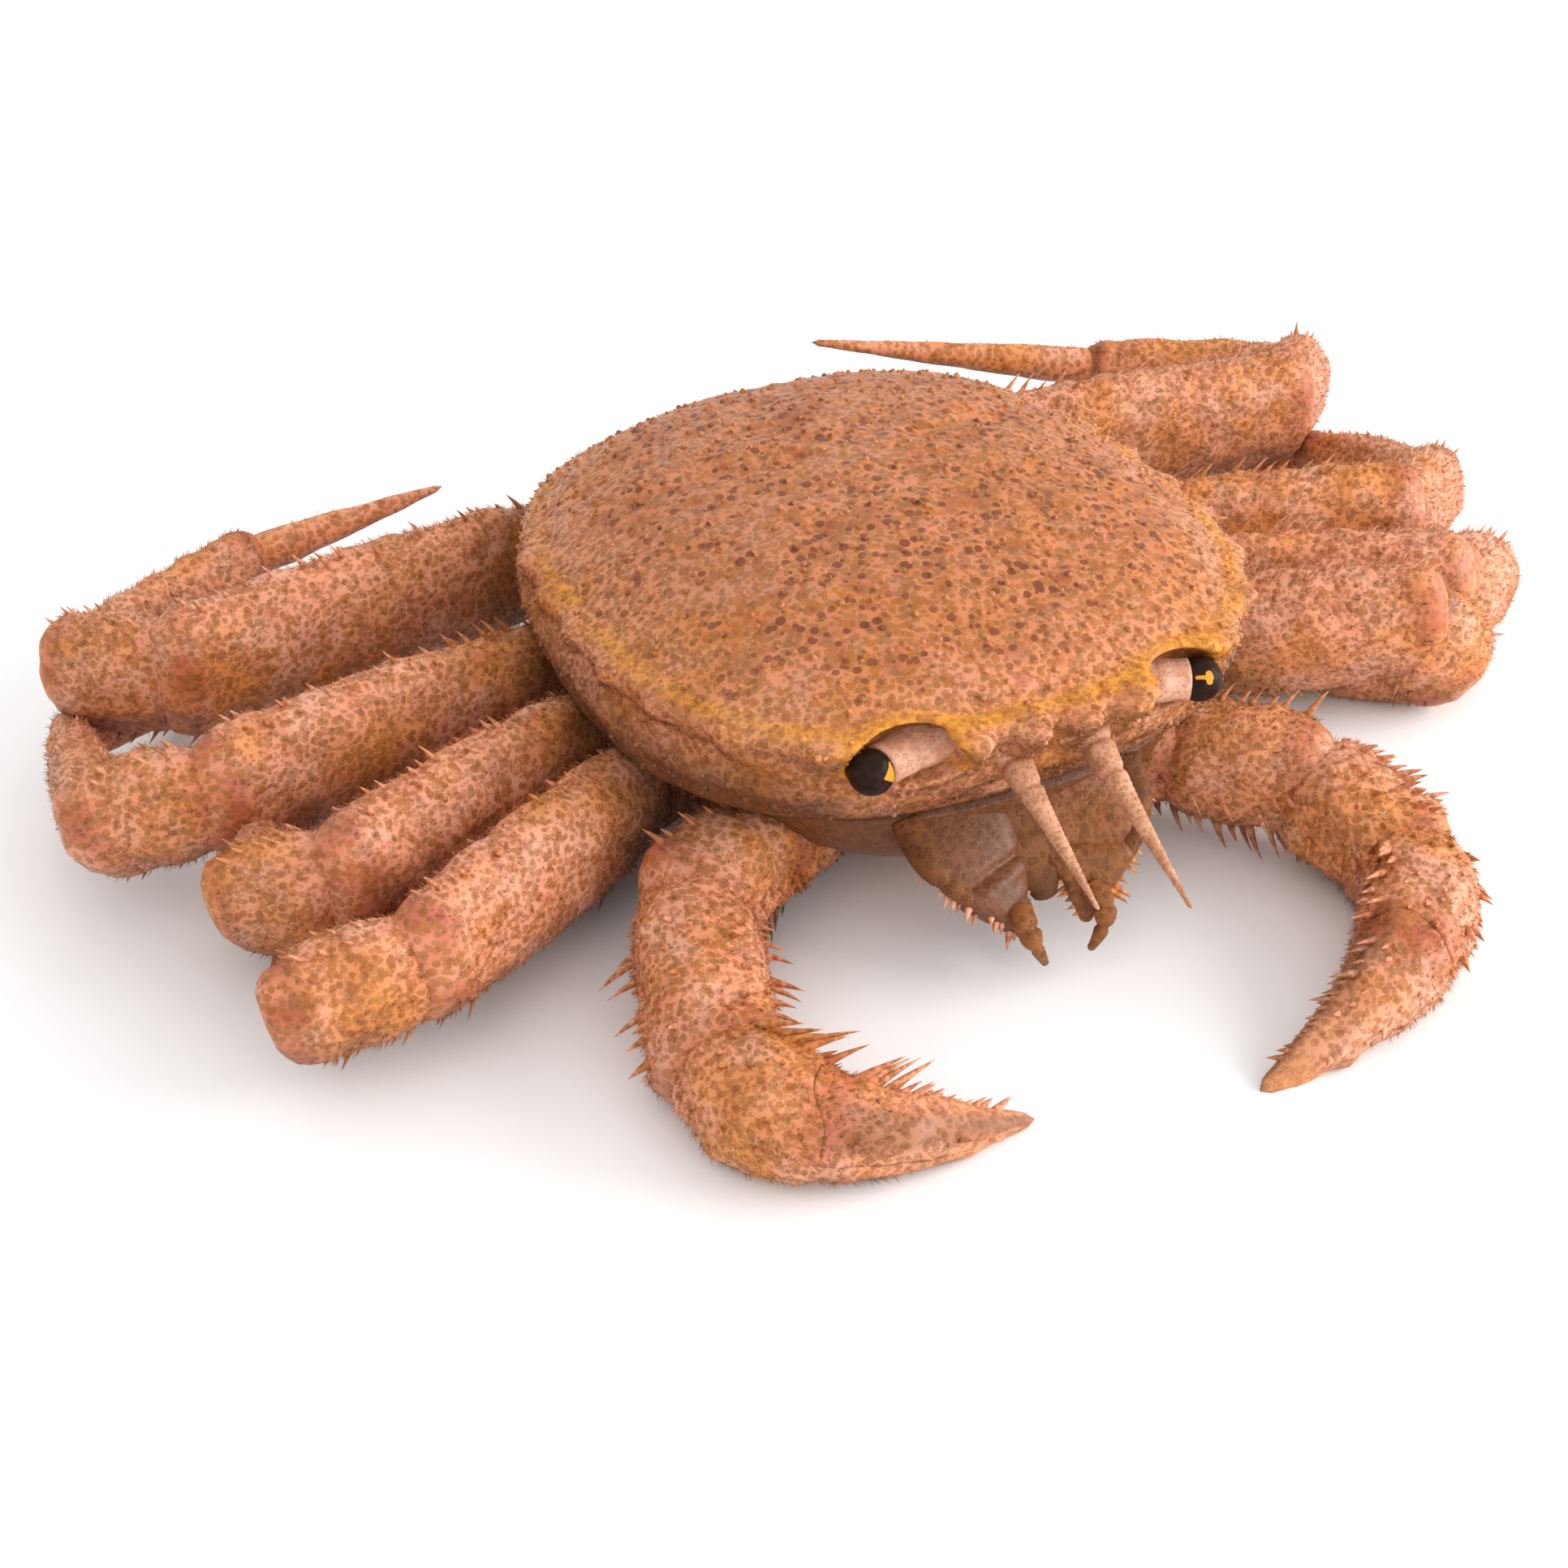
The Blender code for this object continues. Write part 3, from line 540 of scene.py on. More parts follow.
@dataclass
class Growth:
    """Many curved, tapered spikes that are made together as one mesh.

    Each has a root, a direction, a length, a width, and a bend that its tip is moved by. The
    levels give the share of the length and of the width at each ring below the tip.
    """

    roots: Array
    ways: Array
    lengths: Array
    widths: Array
    bends: Array
    sides: int = 8
    levels: tuple = ((-0.3, 1.15), (0.0, 1.0), (0.3, 0.74), (0.6, 0.45), (0.85, 0.2))
    flat: float = 1.0

    @property
    def per_spike(self) -> int:
        """The number of points of one spike."""
        return self.sides * len(self.levels) + 1

    def points(self) -> Array:
        """The points of all the spikes: spike, point and coordinate.

        Returns:
            An array of three dimensions.
        """
        count = len(self.roots)
        ways = unit(self.ways)
        across = unit(np.cross(ways, UP + 1e-4))
        over = np.cross(ways, across)
        turn = math.tau * np.arange(self.sides) / self.sides
        ring = (across[:, None] * np.cos(turn)[None, :, None]
                + over[:, None] * np.sin(turn)[None, :, None] * self.flat)
        rows = []
        for share, wide in self.levels:
            middle = self.roots + ways * (self.lengths * share)[:, None]
            middle = middle + self.bends * max(share, 0.0) ** 2
            rows.append(middle[:, None] + ring * (self.widths * wide / 2)[:, None, None])
        rows.append((self.roots + ways * self.lengths[:, None] + self.bends)[:, None])
        return np.concatenate(rows, axis=1).reshape(count, self.per_spike, 3)

    def triangles(self) -> Array:
        """The corners of one spike's triangles, read from a cone that is cut at each ring.

        Returns:
            Three places in the spike's own list a triangle.
        """
        rings = len(self.levels)
        bm = bmesh.new()
        bmesh.ops.create_cone(
            bm, cap_ends=True, segments=self.sides, radius1=1.0, radius2=0.0, depth=rings)
        bmesh.ops.translate(bm, vec=(0.0, 0.0, rings / 2), verts=bm.verts)
        for ring in range(1, rings):
            whole = bm.verts[:] + bm.edges[:] + bm.faces[:]
            bmesh.ops.bisect_plane(bm, geom=whole, plane_co=(0.0, 0.0, ring), plane_no=UP)
        bmesh.ops.triangulate(bm, faces=bm.faces, quad_method="SHORT_EDGE")
        bm.verts.index_update()
        x, y, z = np.array([vert.co for vert in bm.verts]).T
        turn = np.rint(np.arctan2(y, x) / math.tau * self.sides) % self.sides
        rank = np.argsort(np.lexsort((turn, np.rint(z))))
        corners = np.array([[vert.index for vert in face.verts] for face in bm.faces])
        bm.free()
        return rank[corners]

    def mesh(self, name: str) -> Mesh:
        """All the spikes as one mesh of triangles, in millimetres.

        Args:
            name: The name of the mesh.

        Returns:
            The mesh.
        """
        faces = self.triangles()
        starts = np.arange(len(self.roots))[:, None, None] * self.per_spike
        corners = (faces[None] + starts).reshape(-1)
        made = bpy.data.meshes.new(name)
        points = self.points().reshape(-1, 3)
        points[:, 2] = np.maximum(points[:, 2], 0.0)
        made.vertices.add(len(points))
        made.vertices.foreach_set("co", points.astype(np.float32).ravel())
        made.loops.add(len(corners))
        made.loops.foreach_set("vertex_index", corners.astype(np.int32))
        made.polygons.add(len(corners) // 3)
        made.polygons.foreach_set("loop_start", np.arange(0, len(corners), 3, dtype=np.int32))
        made.update(calc_edges=True)
        return made


def add_marks(mesh: Mesh, layers: dict[str, Array], repeat: int = 1) -> None:
    """Stores markings on a mesh's points.

    Args:
        mesh: The mesh.
        layers: One value a point, or one a spike, by attribute name. Three columns make a vector.
        repeat: How many points share each value.
    """
    for name, values in layers.items():
        values = np.repeat(values, repeat, axis=0).astype(np.float32)
        if values.ndim == 2:
            mesh.attributes.new(name, "FLOAT_VECTOR", "POINT").data.foreach_set(
                "vector", values.ravel())
        else:
            mesh.attributes.new(name, "FLOAT", "POINT").data.foreach_set("value", values)


@dataclass
class Graph:
    """Shorthand for the nodes of a material or of a shader group."""

    tree: NodeTree

    def add(self, kind: str, **settings: object) -> Node:
        """A new node of this kind, with its settings.

        Args:
            kind: The node's type.
            settings: Its properties by name.

        Returns:
            The node.
        """
        node = self.tree.nodes.new(kind)
        for name, value in settings.items():
            setattr(node, name, value)
        return node

    def feed(self, socket: NodeSocket, value: object) -> None:
        """Links a socket to another, or sets its value.

        Args:
            socket: The input.
            value: A socket, a number or a colour.
        """
        if isinstance(value, NodeSocket):
            self.tree.links.new(value, socket)
        else:
            socket.default_value = value

    def math(self, operation: str, a: object, b: object = 0.0) -> NodeSocket:
        """One sum of two values.

        Args:
            operation: The sum.
            a: The first value.
            b: The second.

        Returns:
            The socket of the answer.
        """
        node = self.add("ShaderNodeMath", operation=operation)
        self.feed(node.inputs[0], a)
        self.feed(node.inputs[1], b)
        return node.outputs[0]

    def ramp(self, value: object, low: float, high: float, top: float = 1.0) -> NodeSocket:
        """A smooth rise from 0 at the low value to the top at the high one.

        Args:
            value: What is read.
            low: Where the rise begins.
            high: Where it is complete.
            top: The height it reaches.

        Returns:
            The socket of the height.
        """
        node = self.add("ShaderNodeMapRange", interpolation_type="SMOOTHSTEP")
        self.feed(node.inputs["Value"], value)
        for name, number in (("From Min", low), ("From Max", high), ("To Min", 0.0), ("To Max", top)):
            node.inputs[name].default_value = number
        return node.outputs["Result"]

    def mix(self, share: object, a: object, b: object) -> NodeSocket:
        """Two colours mixed by a share.

        Args:
            share: How much of the second.
            a: The first colour.
            b: The second.

        Returns:
            The socket of the colour.
        """
        node = self.add("ShaderNodeMix", data_type="RGBA")
        self.feed(node.inputs["Factor"], share)
        for socket, value in ((node.inputs[6], a), (node.inputs[7], b)):
            self.feed(socket, (*value, 1.0) if isinstance(value, tuple) else value)
        return node.outputs[2]

    def noise(self, place: object, scale: float, detail: float = 2.0) -> NodeSocket:
        """Soft noise, with a scale in waves a metre.

        Args:
            place: The coordinates.
            scale: Waves a metre.
            detail: How many finer layers it has.

        Returns:
            The socket of the value.
        """
        node = self.add("ShaderNodeTexNoise")
        self.feed(node.inputs["Vector"], place)
        node.inputs["Scale"].default_value = scale
        node.inputs["Detail"].default_value = detail
        return node.outputs["Fac"]

    def spots(
        self, place: object, scale: float, small: float, large: float, soft: float = 0.16,
    ) -> NodeSocket:
        """Round spots of differing size, one in each cell.

        Args:
            place: The coordinates.
            scale: Cells a metre.
            small: The radius of the smallest spot, in cells.
            large: The radius of the largest.
            soft: How much of the radius the edge fades over.

        Returns:
            A value that is 1 in the middle of a spot and falls softly to 0 at its edge.
        """
        cell = self.add("ShaderNodeTexVoronoi")
        self.feed(cell.inputs["Vector"], place)
        cell.inputs["Scale"].default_value = scale
        chance = self.add("ShaderNodeSeparateColor")
        self.feed(chance.inputs["Color"], cell.outputs["Color"])
        reach = self.math("MULTIPLY_ADD", chance.outputs["Red"], large - small)
        reach.node.inputs[2].default_value = small
        inside = self.math("DIVIDE", cell.outputs["Distance"], reach)
        return self.ramp(inside, 1.0, 1.0 - soft)


@dataclass(frozen=True)
class ShellColours:
    """The colours of the shell, in linear light."""

    pink: tuple = (0.77, 0.315, 0.174)
    orange: tuple = (0.70, 0.260, 0.070)
    lilac: tuple = (0.74, 0.38, 0.275)
    brown: tuple = (0.46, 0.135, 0.038)
    spot: tuple = (0.40, 0.125, 0.020)
    olive: tuple = (0.26, 0.115, 0.028)
    dark_spot: tuple = (0.18, 0.042, 0.011)
    rust: tuple = (0.31, 0.056, 0.012)
    maroon: tuple = (0.24, 0.045, 0.022)
    rim: tuple = (0.70, 0.27, 0.018)
    stain: tuple = (0.46, 0.085, 0.04)
    # Dark brown of painted shade.
    shade: tuple = (0.095, 0.030, 0.009)
    tip: tuple = (0.52, 0.24, 0.125)
    spotting: tuple = ((1050.0, 0.30, 0.47, "olive", 0.62), (850.0, 0.30, 0.47, "spot", 0.84),
                       (720.0, 0.30, 0.46, "olive", 0.62), (610.0, 0.26, 0.44, "spot", 0.80))

    GROUP = "shell_markings"

    def group(self) -> NodeTree:
        """The shader group that paints the shell, made once and shared.

        Returns:
            A group that takes a place and the markings, and gives a colour, a height and a
            roughness.
        """
        found = bpy.data.node_groups.get(self.GROUP)
        if found:
            return found
        tree = bpy.data.node_groups.new(self.GROUP, "ShaderNodeTree")
        tree.interface.new_socket("Place", in_out="INPUT", socket_type="NodeSocketVector")
        for name in LAYERS:
            tree.interface.new_socket(name.capitalize(), in_out="INPUT", socket_type="NodeSocketFloat")
        tree.interface.new_socket("Colour", in_out="OUTPUT", socket_type="NodeSocketColor")
        for name in ("Height", "Roughness"):
            tree.interface.new_socket(name, in_out="OUTPUT", socket_type="NodeSocketFloat")
        graph = Graph(tree)
        given = graph.add("NodeGroupInput").outputs
        place = given["Place"]
        broad = graph.noise(place, 55.0, 3.0)
        patchy = graph.noise(place, 130.0, 3.0)
        colour = graph.mix(graph.ramp(broad, 0.40, 0.66), self.pink, self.orange)
        colour = graph.mix(graph.ramp(patchy, 0.54, 0.36, 0.6), colour, self.lilac)
        colour = graph.mix(graph.math("MULTIPLY", given["Dusk"], 0.72), colour, self.brown)
        uneven = graph.math("MULTIPLY_ADD", patchy, 0.9)
        uneven.node.inputs[2].default_value = 0.5
        for name, tone, most in (("Rim", self.rim, 1.1), ("Stain", self.stain, 0.75),
                                 ("Tip", self.tip, 0.85)):
            strength = graph.math("MULTIPLY", graph.math("MULTIPLY", given[name], uneven), most)
            colour = graph.mix(graph.math("MINIMUM", strength, 1.0), colour, tone)
        blotch = graph.math("MULTIPLY", graph.spots(place, 320.0, 0.22, 0.5, 0.8), given["Dusk"])
        colour = graph.mix(graph.math("MULTIPLY", blotch, 0.9), colour, self.rust)
        blush = graph.math("MULTIPLY", graph.ramp(patchy, 0.54, 0.70, 0.5), given["Dusk"])
        colour = graph.mix(blush, colour, self.maroon)
        left = graph.math("SUBTRACT", 1.0, graph.math("MULTIPLY", given["Tip"], 0.8))
        left = graph.math("SUBTRACT", left, graph.math("MULTIPLY", given["Rim"], 0.4))
        plain = graph.math("MULTIPLY_ADD", given["Dusk"], 0.25)
        plain.node.inputs[2].default_value = 0.76
        left = graph.math("MULTIPLY", left, plain)
        height = graph.math("MULTIPLY", graph.noise(place, 2600.0, 3.0), 0.25)
        for scale, small, large, tone, strength in self.spotting:
            mask = graph.spots(place, scale, small, large)
            seen = graph.math("MULTIPLY", graph.math("MULTIPLY", mask, strength), left)
            colour = graph.mix(seen, colour, getattr(self, tone))
            height = graph.math("ADD", height, graph.math("MULTIPLY", mask, 0.2))
        depth = graph.math("MULTIPLY_ADD", given["Dusk"], 0.72)
        depth.node.inputs[2].default_value = 0.2
        depth = graph.math("MULTIPLY", depth, graph.ramp(patchy, 0.26, 0.56))
        depth = graph.math("MULTIPLY", depth, graph.spots(place, 560.0, 0.24, 0.46))
        colour = graph.mix(graph.math("MULTIPLY", depth, left), colour, self.dark_spot)
        # Painted shade: the Shade marking darkens the colour towards dark brown.
        colour = graph.mix(graph.math("MULTIPLY", given["Shade"], 0.85), colour, self.shade)
        rough = graph.math("MULTIPLY_ADD", patchy, 0.25)
        rough.node.inputs[2].default_value = 0.36
        result = graph.add("NodeGroupOutput").inputs
        graph.feed(result["Colour"], colour)
        graph.feed(result["Height"], height)
        graph.feed(result["Roughness"], rough)
        return tree


@dataclass(frozen=True)
class Finish:
    """A finish by name. Each kind fills in its own nodes."""

    name: str

    def material(self) -> Material:
        """The material of this finish, made once.

        Returns:
            The material.
        """
        found = bpy.data.materials.get(self.name)
        if found:
            return found
        material = bpy.data.materials.new(self.name)
        material.use_nodes = True
        graph = Graph(material.node_tree)
        self.paint(graph, material.node_tree.nodes["Principled BSDF"])
        return material

    def paint(self, graph: Graph, shader: Node) -> None:
        """Fills in the nodes of the material."""
        raise NotImplementedError

    @staticmethod
    def raise_by(graph: Graph, shader: Node, height: object, depth: float) -> None:
        """Gives the shader a bump of this depth in metres.

        Args:
            graph: The material's nodes.
            shader: The shader that they feed.
            height: The socket of the height.
            depth: The depth of a height of 1, in metres.
        """
        bump = graph.add("ShaderNodeBump")
        bump.inputs["Strength"].default_value = 1.0
        bump.inputs["Distance"].default_value = depth
        graph.feed(bump.inputs["Height"], height)
        graph.feed(shader.inputs["Normal"], bump.outputs["Normal"])


@dataclass(frozen=True)
class ShellFinish(Finish):
    """The granular, spotted shell, with a thin damp gloss."""

    bump: float = 0.00018
    coat: float = 0.08
    gloss: float = 0.28

    def paint(self, graph: Graph, shader: Node) -> None:
        """Fills in the nodes of the material.

        Args:
            graph: The material's nodes.
            shader: The shader that they feed.
        """
        marked = self.markings(graph, graph.add("ShaderNodeTexCoord").outputs["Object"])
        graph.feed(shader.inputs["Base Color"], marked.outputs["Colour"])
        graph.feed(shader.inputs["Roughness"], marked.outputs["Roughness"])
        shader.inputs["Specular IOR Level"].default_value = self.gloss
        shader.inputs["Coat Weight"].default_value = self.coat
        shader.inputs["Coat Roughness"].default_value = 0.35
        self.raise_by(graph, shader, marked.outputs["Height"], self.bump)

    @staticmethod
    def markings(graph: Graph, place: NodeSocket) -> Node:
        """The shared markings, read at a place and fed by the piece's own attributes.

        Args:
            graph: The material's nodes.
            place: The coordinates.

        Returns:
            The group's node.
        """
        node = graph.add("ShaderNodeGroup", node_tree=ShellColours().group())
        graph.feed(node.inputs["Place"], place)
        for name in LAYERS:
            layer = graph.add("ShaderNodeAttribute", attribute_name=name)
            graph.feed(node.inputs[name.capitalize()], layer.outputs["Fac"])
        return node


@dataclass(frozen=True)
class BristleFinish(Finish):
    """Stiff bristles: the shell's colour at their root, going to straw at their tip."""

    straw: tuple = (0.40, 0.19, 0.065)

    def paint(self, graph: Graph, shader: Node) -> None:
        """Fills in the nodes of the material.

        Args:
            graph: The material's nodes.
            shader: The shader that they feed.
        """
        root = graph.add("ShaderNodeAttribute", attribute_name="root")
        marked = ShellFinish.markings(graph, root.outputs["Vector"])
        reach = graph.add("ShaderNodeAttribute", attribute_name="reach")
        share = graph.ramp(reach.outputs["Fac"], 0.0, 1.0, 0.18)
        colour = graph.mix(share, marked.outputs["Colour"], self.straw)
        graph.feed(shader.inputs["Base Color"], colour)
        shader.inputs["Roughness"].default_value = 0.5


@dataclass(frozen=True)
class EyeFinish(Finish):
    """A glossy dark brown eye with a painted amber highlight."""

    brown: tuple = (0.020, 0.009, 0.006)
    cloud: tuple = (0.05, 0.022, 0.012)
    # Colour of the painted amber highlight.
    amber_highlight: tuple = (0.72, 0.29, 0.03)

    def paint(self, graph: Graph, shader: Node) -> None:
        """Fills in the nodes of the material.

        Args:
            graph: The material's nodes.
            shader: The shader that they feed.
        """
        place = graph.add("ShaderNodeTexCoord").outputs["Object"]
        # A painted highlight: an amber reflection laid into the eye's colour.
        highlight = graph.add("ShaderNodeAttribute", attribute_name="amber_highlight").outputs["Fac"]
        cloudy = graph.noise(place, 900.0, 3.0)
        dark = graph.mix(graph.ramp(cloudy, 0.45, 0.75, 0.5), self.brown, self.cloud)
        colour = graph.mix(graph.ramp(highlight, 0.35, 0.65), dark, self.amber_highlight)
        graph.feed(shader.inputs["Base Color"], colour)
        shader.inputs["Roughness"].default_value = 0.3
        shader.inputs["Specular IOR Level"].default_value = 0.05
        shader.inputs["Coat Weight"].default_value = 0.05
        shader.inputs["Coat Roughness"].default_value = 0.04
        self.raise_by(graph, shader, graph.noise(place, 9000.0, 1.0), 0.00001)


@dataclass(frozen=True)
class SkinFinish(Finish):
    """A smoother part in two tones: a stalk, a feeler, a mouth plate or the underside."""

    light: tuple = (0.70, 0.36, 0.22)
    dark: tuple = (0.40, 0.15, 0.07)
    scale: float = 350.0
    bump: float = 0.00010
    roughness: float = 0.45
    gloss: float = 0.4
    shade_colour: tuple = (0.10, 0.033, 0.011)

    def paint(self, graph: Graph, shader: Node) -> None:
        """Fills in the nodes of the material.

        Args:
            graph: The material's nodes.
            shader: The shader that they feed.
        """
        place = graph.add("ShaderNodeTexCoord").outputs["Object"]
        broad = graph.noise(place, self.scale, 3.0)
        fine = graph.spots(place, self.scale * 4, 0.3, 0.55)
        # Painted shade from the shade attribute darkens the colour towards the shade colour.
        shade = graph.add("ShaderNodeAttribute", attribute_name="shade").outputs["Fac"]
        colour = graph.mix(graph.ramp(broad, 0.35, 0.68, 0.8), self.light, self.dark)
        colour = graph.mix(graph.math("MULTIPLY", fine, 0.45), colour, self.dark)
        colour = graph.mix(graph.math("MULTIPLY", shade, 0.85), colour, self.shade_colour)
        graph.feed(shader.inputs["Base Color"], colour)
        rough = graph.math("MULTIPLY_ADD", broad, 0.3)
        rough.node.inputs[2].default_value = self.roughness - 0.15
        graph.feed(shader.inputs["Roughness"], rough)
        shader.inputs["Specular IOR Level"].default_value = self.gloss
        self.raise_by(graph, shader, graph.math("ADD", fine, graph.noise(place, 3000.0)), self.bump)


@dataclass(frozen=True)
class FloorFinish(Finish):
    """The plain pale floor."""

    pale: tuple = (0.94, 0.94, 0.94, 1.0)

    def paint(self, graph: Graph, shader: Node) -> None:
        """Fills in the nodes of the material."""
        shader.inputs["Base Color"].default_value = self.pale
        shader.inputs["Roughness"].default_value = 0.9


SHELL = ShellFinish("spotted_shell")
BRISTLE = BristleFinish("stiff_bristle")
SPINE = ShellFinish("spotted_spine", bump=0.00012, coat=0.2)
EYE_GLOSS = EyeFinish("eye_gloss")
STALK = SkinFinish("eyestalk_skin", (0.74, 0.40, 0.27), (0.55, 0.22, 0.12))
FEELER = SkinFinish("feeler_skin", (0.62, 0.30, 0.17), (0.36, 0.14, 0.06))
UNDERSIDE = SkinFinish("underside_skin", (0.62, 0.30, 0.16), (0.34, 0.12, 0.05), 160.0, 0.00015)
# The mouthparts' own dark browns, made darker still as painted shade.
MOUTH = SkinFinish("mouth_skin", (0.20, 0.075, 0.026), (0.10, 0.036, 0.013), 220.0, 0.00012,
                   gloss=0.12)
MOUTH_PLATE = SkinFinish("mouth_plate_skin", (0.30, 0.110, 0.036), (0.14, 0.048, 0.015), 220.0,
                         0.00012, gloss=0.12)


@dataclass
class Bench:
    """Where pieces are finished: it moves them to the row's metres and names what they are."""

    shift: Array
    count: int = 0

    @classmethod
    def from_eyes(cls) -> "Bench":
        """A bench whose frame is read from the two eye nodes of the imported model.

        Returns:
            The bench.
        """
        corners = np.array([[list(corner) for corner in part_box(name)] for name in ("eye_l", "eye_r")])
        middle = corners.reshape(-1, 3).mean(axis=0) / MM
        return cls(np.array((-middle[0], EYE[1] - middle[1], 0.0)))

    def row(self, points: Array) -> Array:
        """Crab millimetres in the row's metres."""
        return (points - self.shift) * MM

    def finish(
        self, name: str, mesh: Mesh, finish: Finish, slot: str, *nodes: str,
    ) -> Object:
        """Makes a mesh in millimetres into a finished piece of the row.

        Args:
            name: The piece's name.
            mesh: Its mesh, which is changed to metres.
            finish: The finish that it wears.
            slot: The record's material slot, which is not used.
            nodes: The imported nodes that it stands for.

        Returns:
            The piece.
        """
        placed = self.row(places_in(mesh)).astype(np.float32)
        mesh.vertices.foreach_set("co", placed.ravel())
        mesh.update()
        mesh.shade_smooth()
        mesh.materials.clear()
        mesh.materials.append(finish.material())
        mesh.name = name
        piece = add_object(name, mesh)
        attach(piece, "root")
        if nodes:
            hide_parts(*nodes)
        self.count += 1
        LOG.info("%s: %d faces", name, len(mesh.polygons))
        return piece


@dataclass
class Tufts:
    """Bristles gathered from several surfaces, to be made as one coat."""

    roots: list = field(default_factory=list)
    ways: list = field(default_factory=list)
    lengths: list = field(default_factory=list)
    marks: list = field(default_factory=list)
    places: list = field(default_factory=list)
    hairs: int = 3
    spread: float = 0.30
    apart: float = 0.12
    bend: float = 0.12
    droop: float = 0.04
    width: float = 0.09
    stand: float = 0.8
    lean: float = 0.75
    patch: float = 0.003

    def gather(
        self, surface: Surface, spacing: float, length: float, marks: Callable, flow: Callable,
        unwrap: Callable, draw: np.random.Generator,
    ) -> None:
        """Adds the tufts of one surface.

        Args:
            surface: The skin that they grow from.
            spacing: About how far apart the tufts are, in millimetres.
            length: The length of a middling bristle.
            marks: Gives the markings from places and normals.
            flow: Gives the way that the coat lies, from places and normals.
            unwrap: Gives each place on the skin's own unwrap, as two columns.
            draw: The source of chance.
        """
        roots, normals = surface.scatter(spacing, draw)
        painted = marks(roots, normals)
        keep = draw.random(len(roots)) > painted.bare
        roots, normals = roots[keep], normals[keep]
        painted = marks(roots, normals)
        lie = flow(roots, normals)
        lean = unit(lie - normals * (lie * normals).sum(axis=1)[:, None])
        rise = unit(normals * self.stand + lean * self.lean)
        self.roots.append(roots)
        self.ways.append(rise)
        self.lengths.append(length * draw.uniform(0.65, 1.3, len(roots)) * (1 - 0.5 * painted.tip))
        self.marks.append(painted)
        self.places.append(unwrap(roots))

    def mesh(self, name: str, bench: Bench, draw: np.random.Generator) -> Mesh:
        """The coat as one mesh, with its markings and its baking map.

        Args:
            name: The name of the mesh.
            bench: Gives the roots' places in the row.
            draw: The source of chance.

        Returns:
            The mesh, in millimetres.
        """
        roots = np.repeat(np.concatenate(self.roots), self.hairs, axis=0)
        ways = np.repeat(np.concatenate(self.ways), self.hairs, axis=0)
        lengths = np.repeat(np.concatenate(self.lengths), self.hairs)
        count = len(roots)
        apart = draw.normal(size=(count, 3))
        ways = unit(ways + apart * self.spread)
        lengths = lengths * draw.uniform(0.7, 1.15, count)
        growth = Growth(
            roots + apart * self.apart, ways, lengths,
            self.width * draw.uniform(0.75, 1.25, count),
            np.repeat(np.concatenate(self.ways), self.hairs, axis=0) * self.bend - UP * self.droop,
            sides=3, levels=((-0.12, 1.0), (0.5, 0.72)),
        )
        mesh = growth.mesh(name)
        layers = {key: np.concatenate([marks.layers()[key] for marks in self.marks])
                  for key in LAYERS}
        layers["root"] = bench.row(np.concatenate(self.roots))
        add_marks(mesh, layers, self.hairs * growth.per_spike)
        reach = np.array([0.0] * 3 + [0.5] * 3 + [1.0])
        add_marks(mesh, {"reach": np.tile(reach, count)})
        places = np.repeat(np.concatenate(self.places), self.hairs, axis=0)
        places = np.clip(places, self.patch, 1 - self.patch)
        corners = growth.triangles()
        turn = math.tau * (corners % 3) / 3
        radius = self.patch / 2 * (1 - reach[corners] * 0.6)
        offsets = np.stack((np.cos(turn) * radius, np.sin(turn) * radius), axis=-1).reshape(-1, 2)
        layer = mesh.uv_layers.new(name="OFBake")
        spread = (places[:, None] + offsets[None]).reshape(-1, 2)
        layer.data.foreach_set("uv", spread.astype(np.float32).ravel())
        return mesh


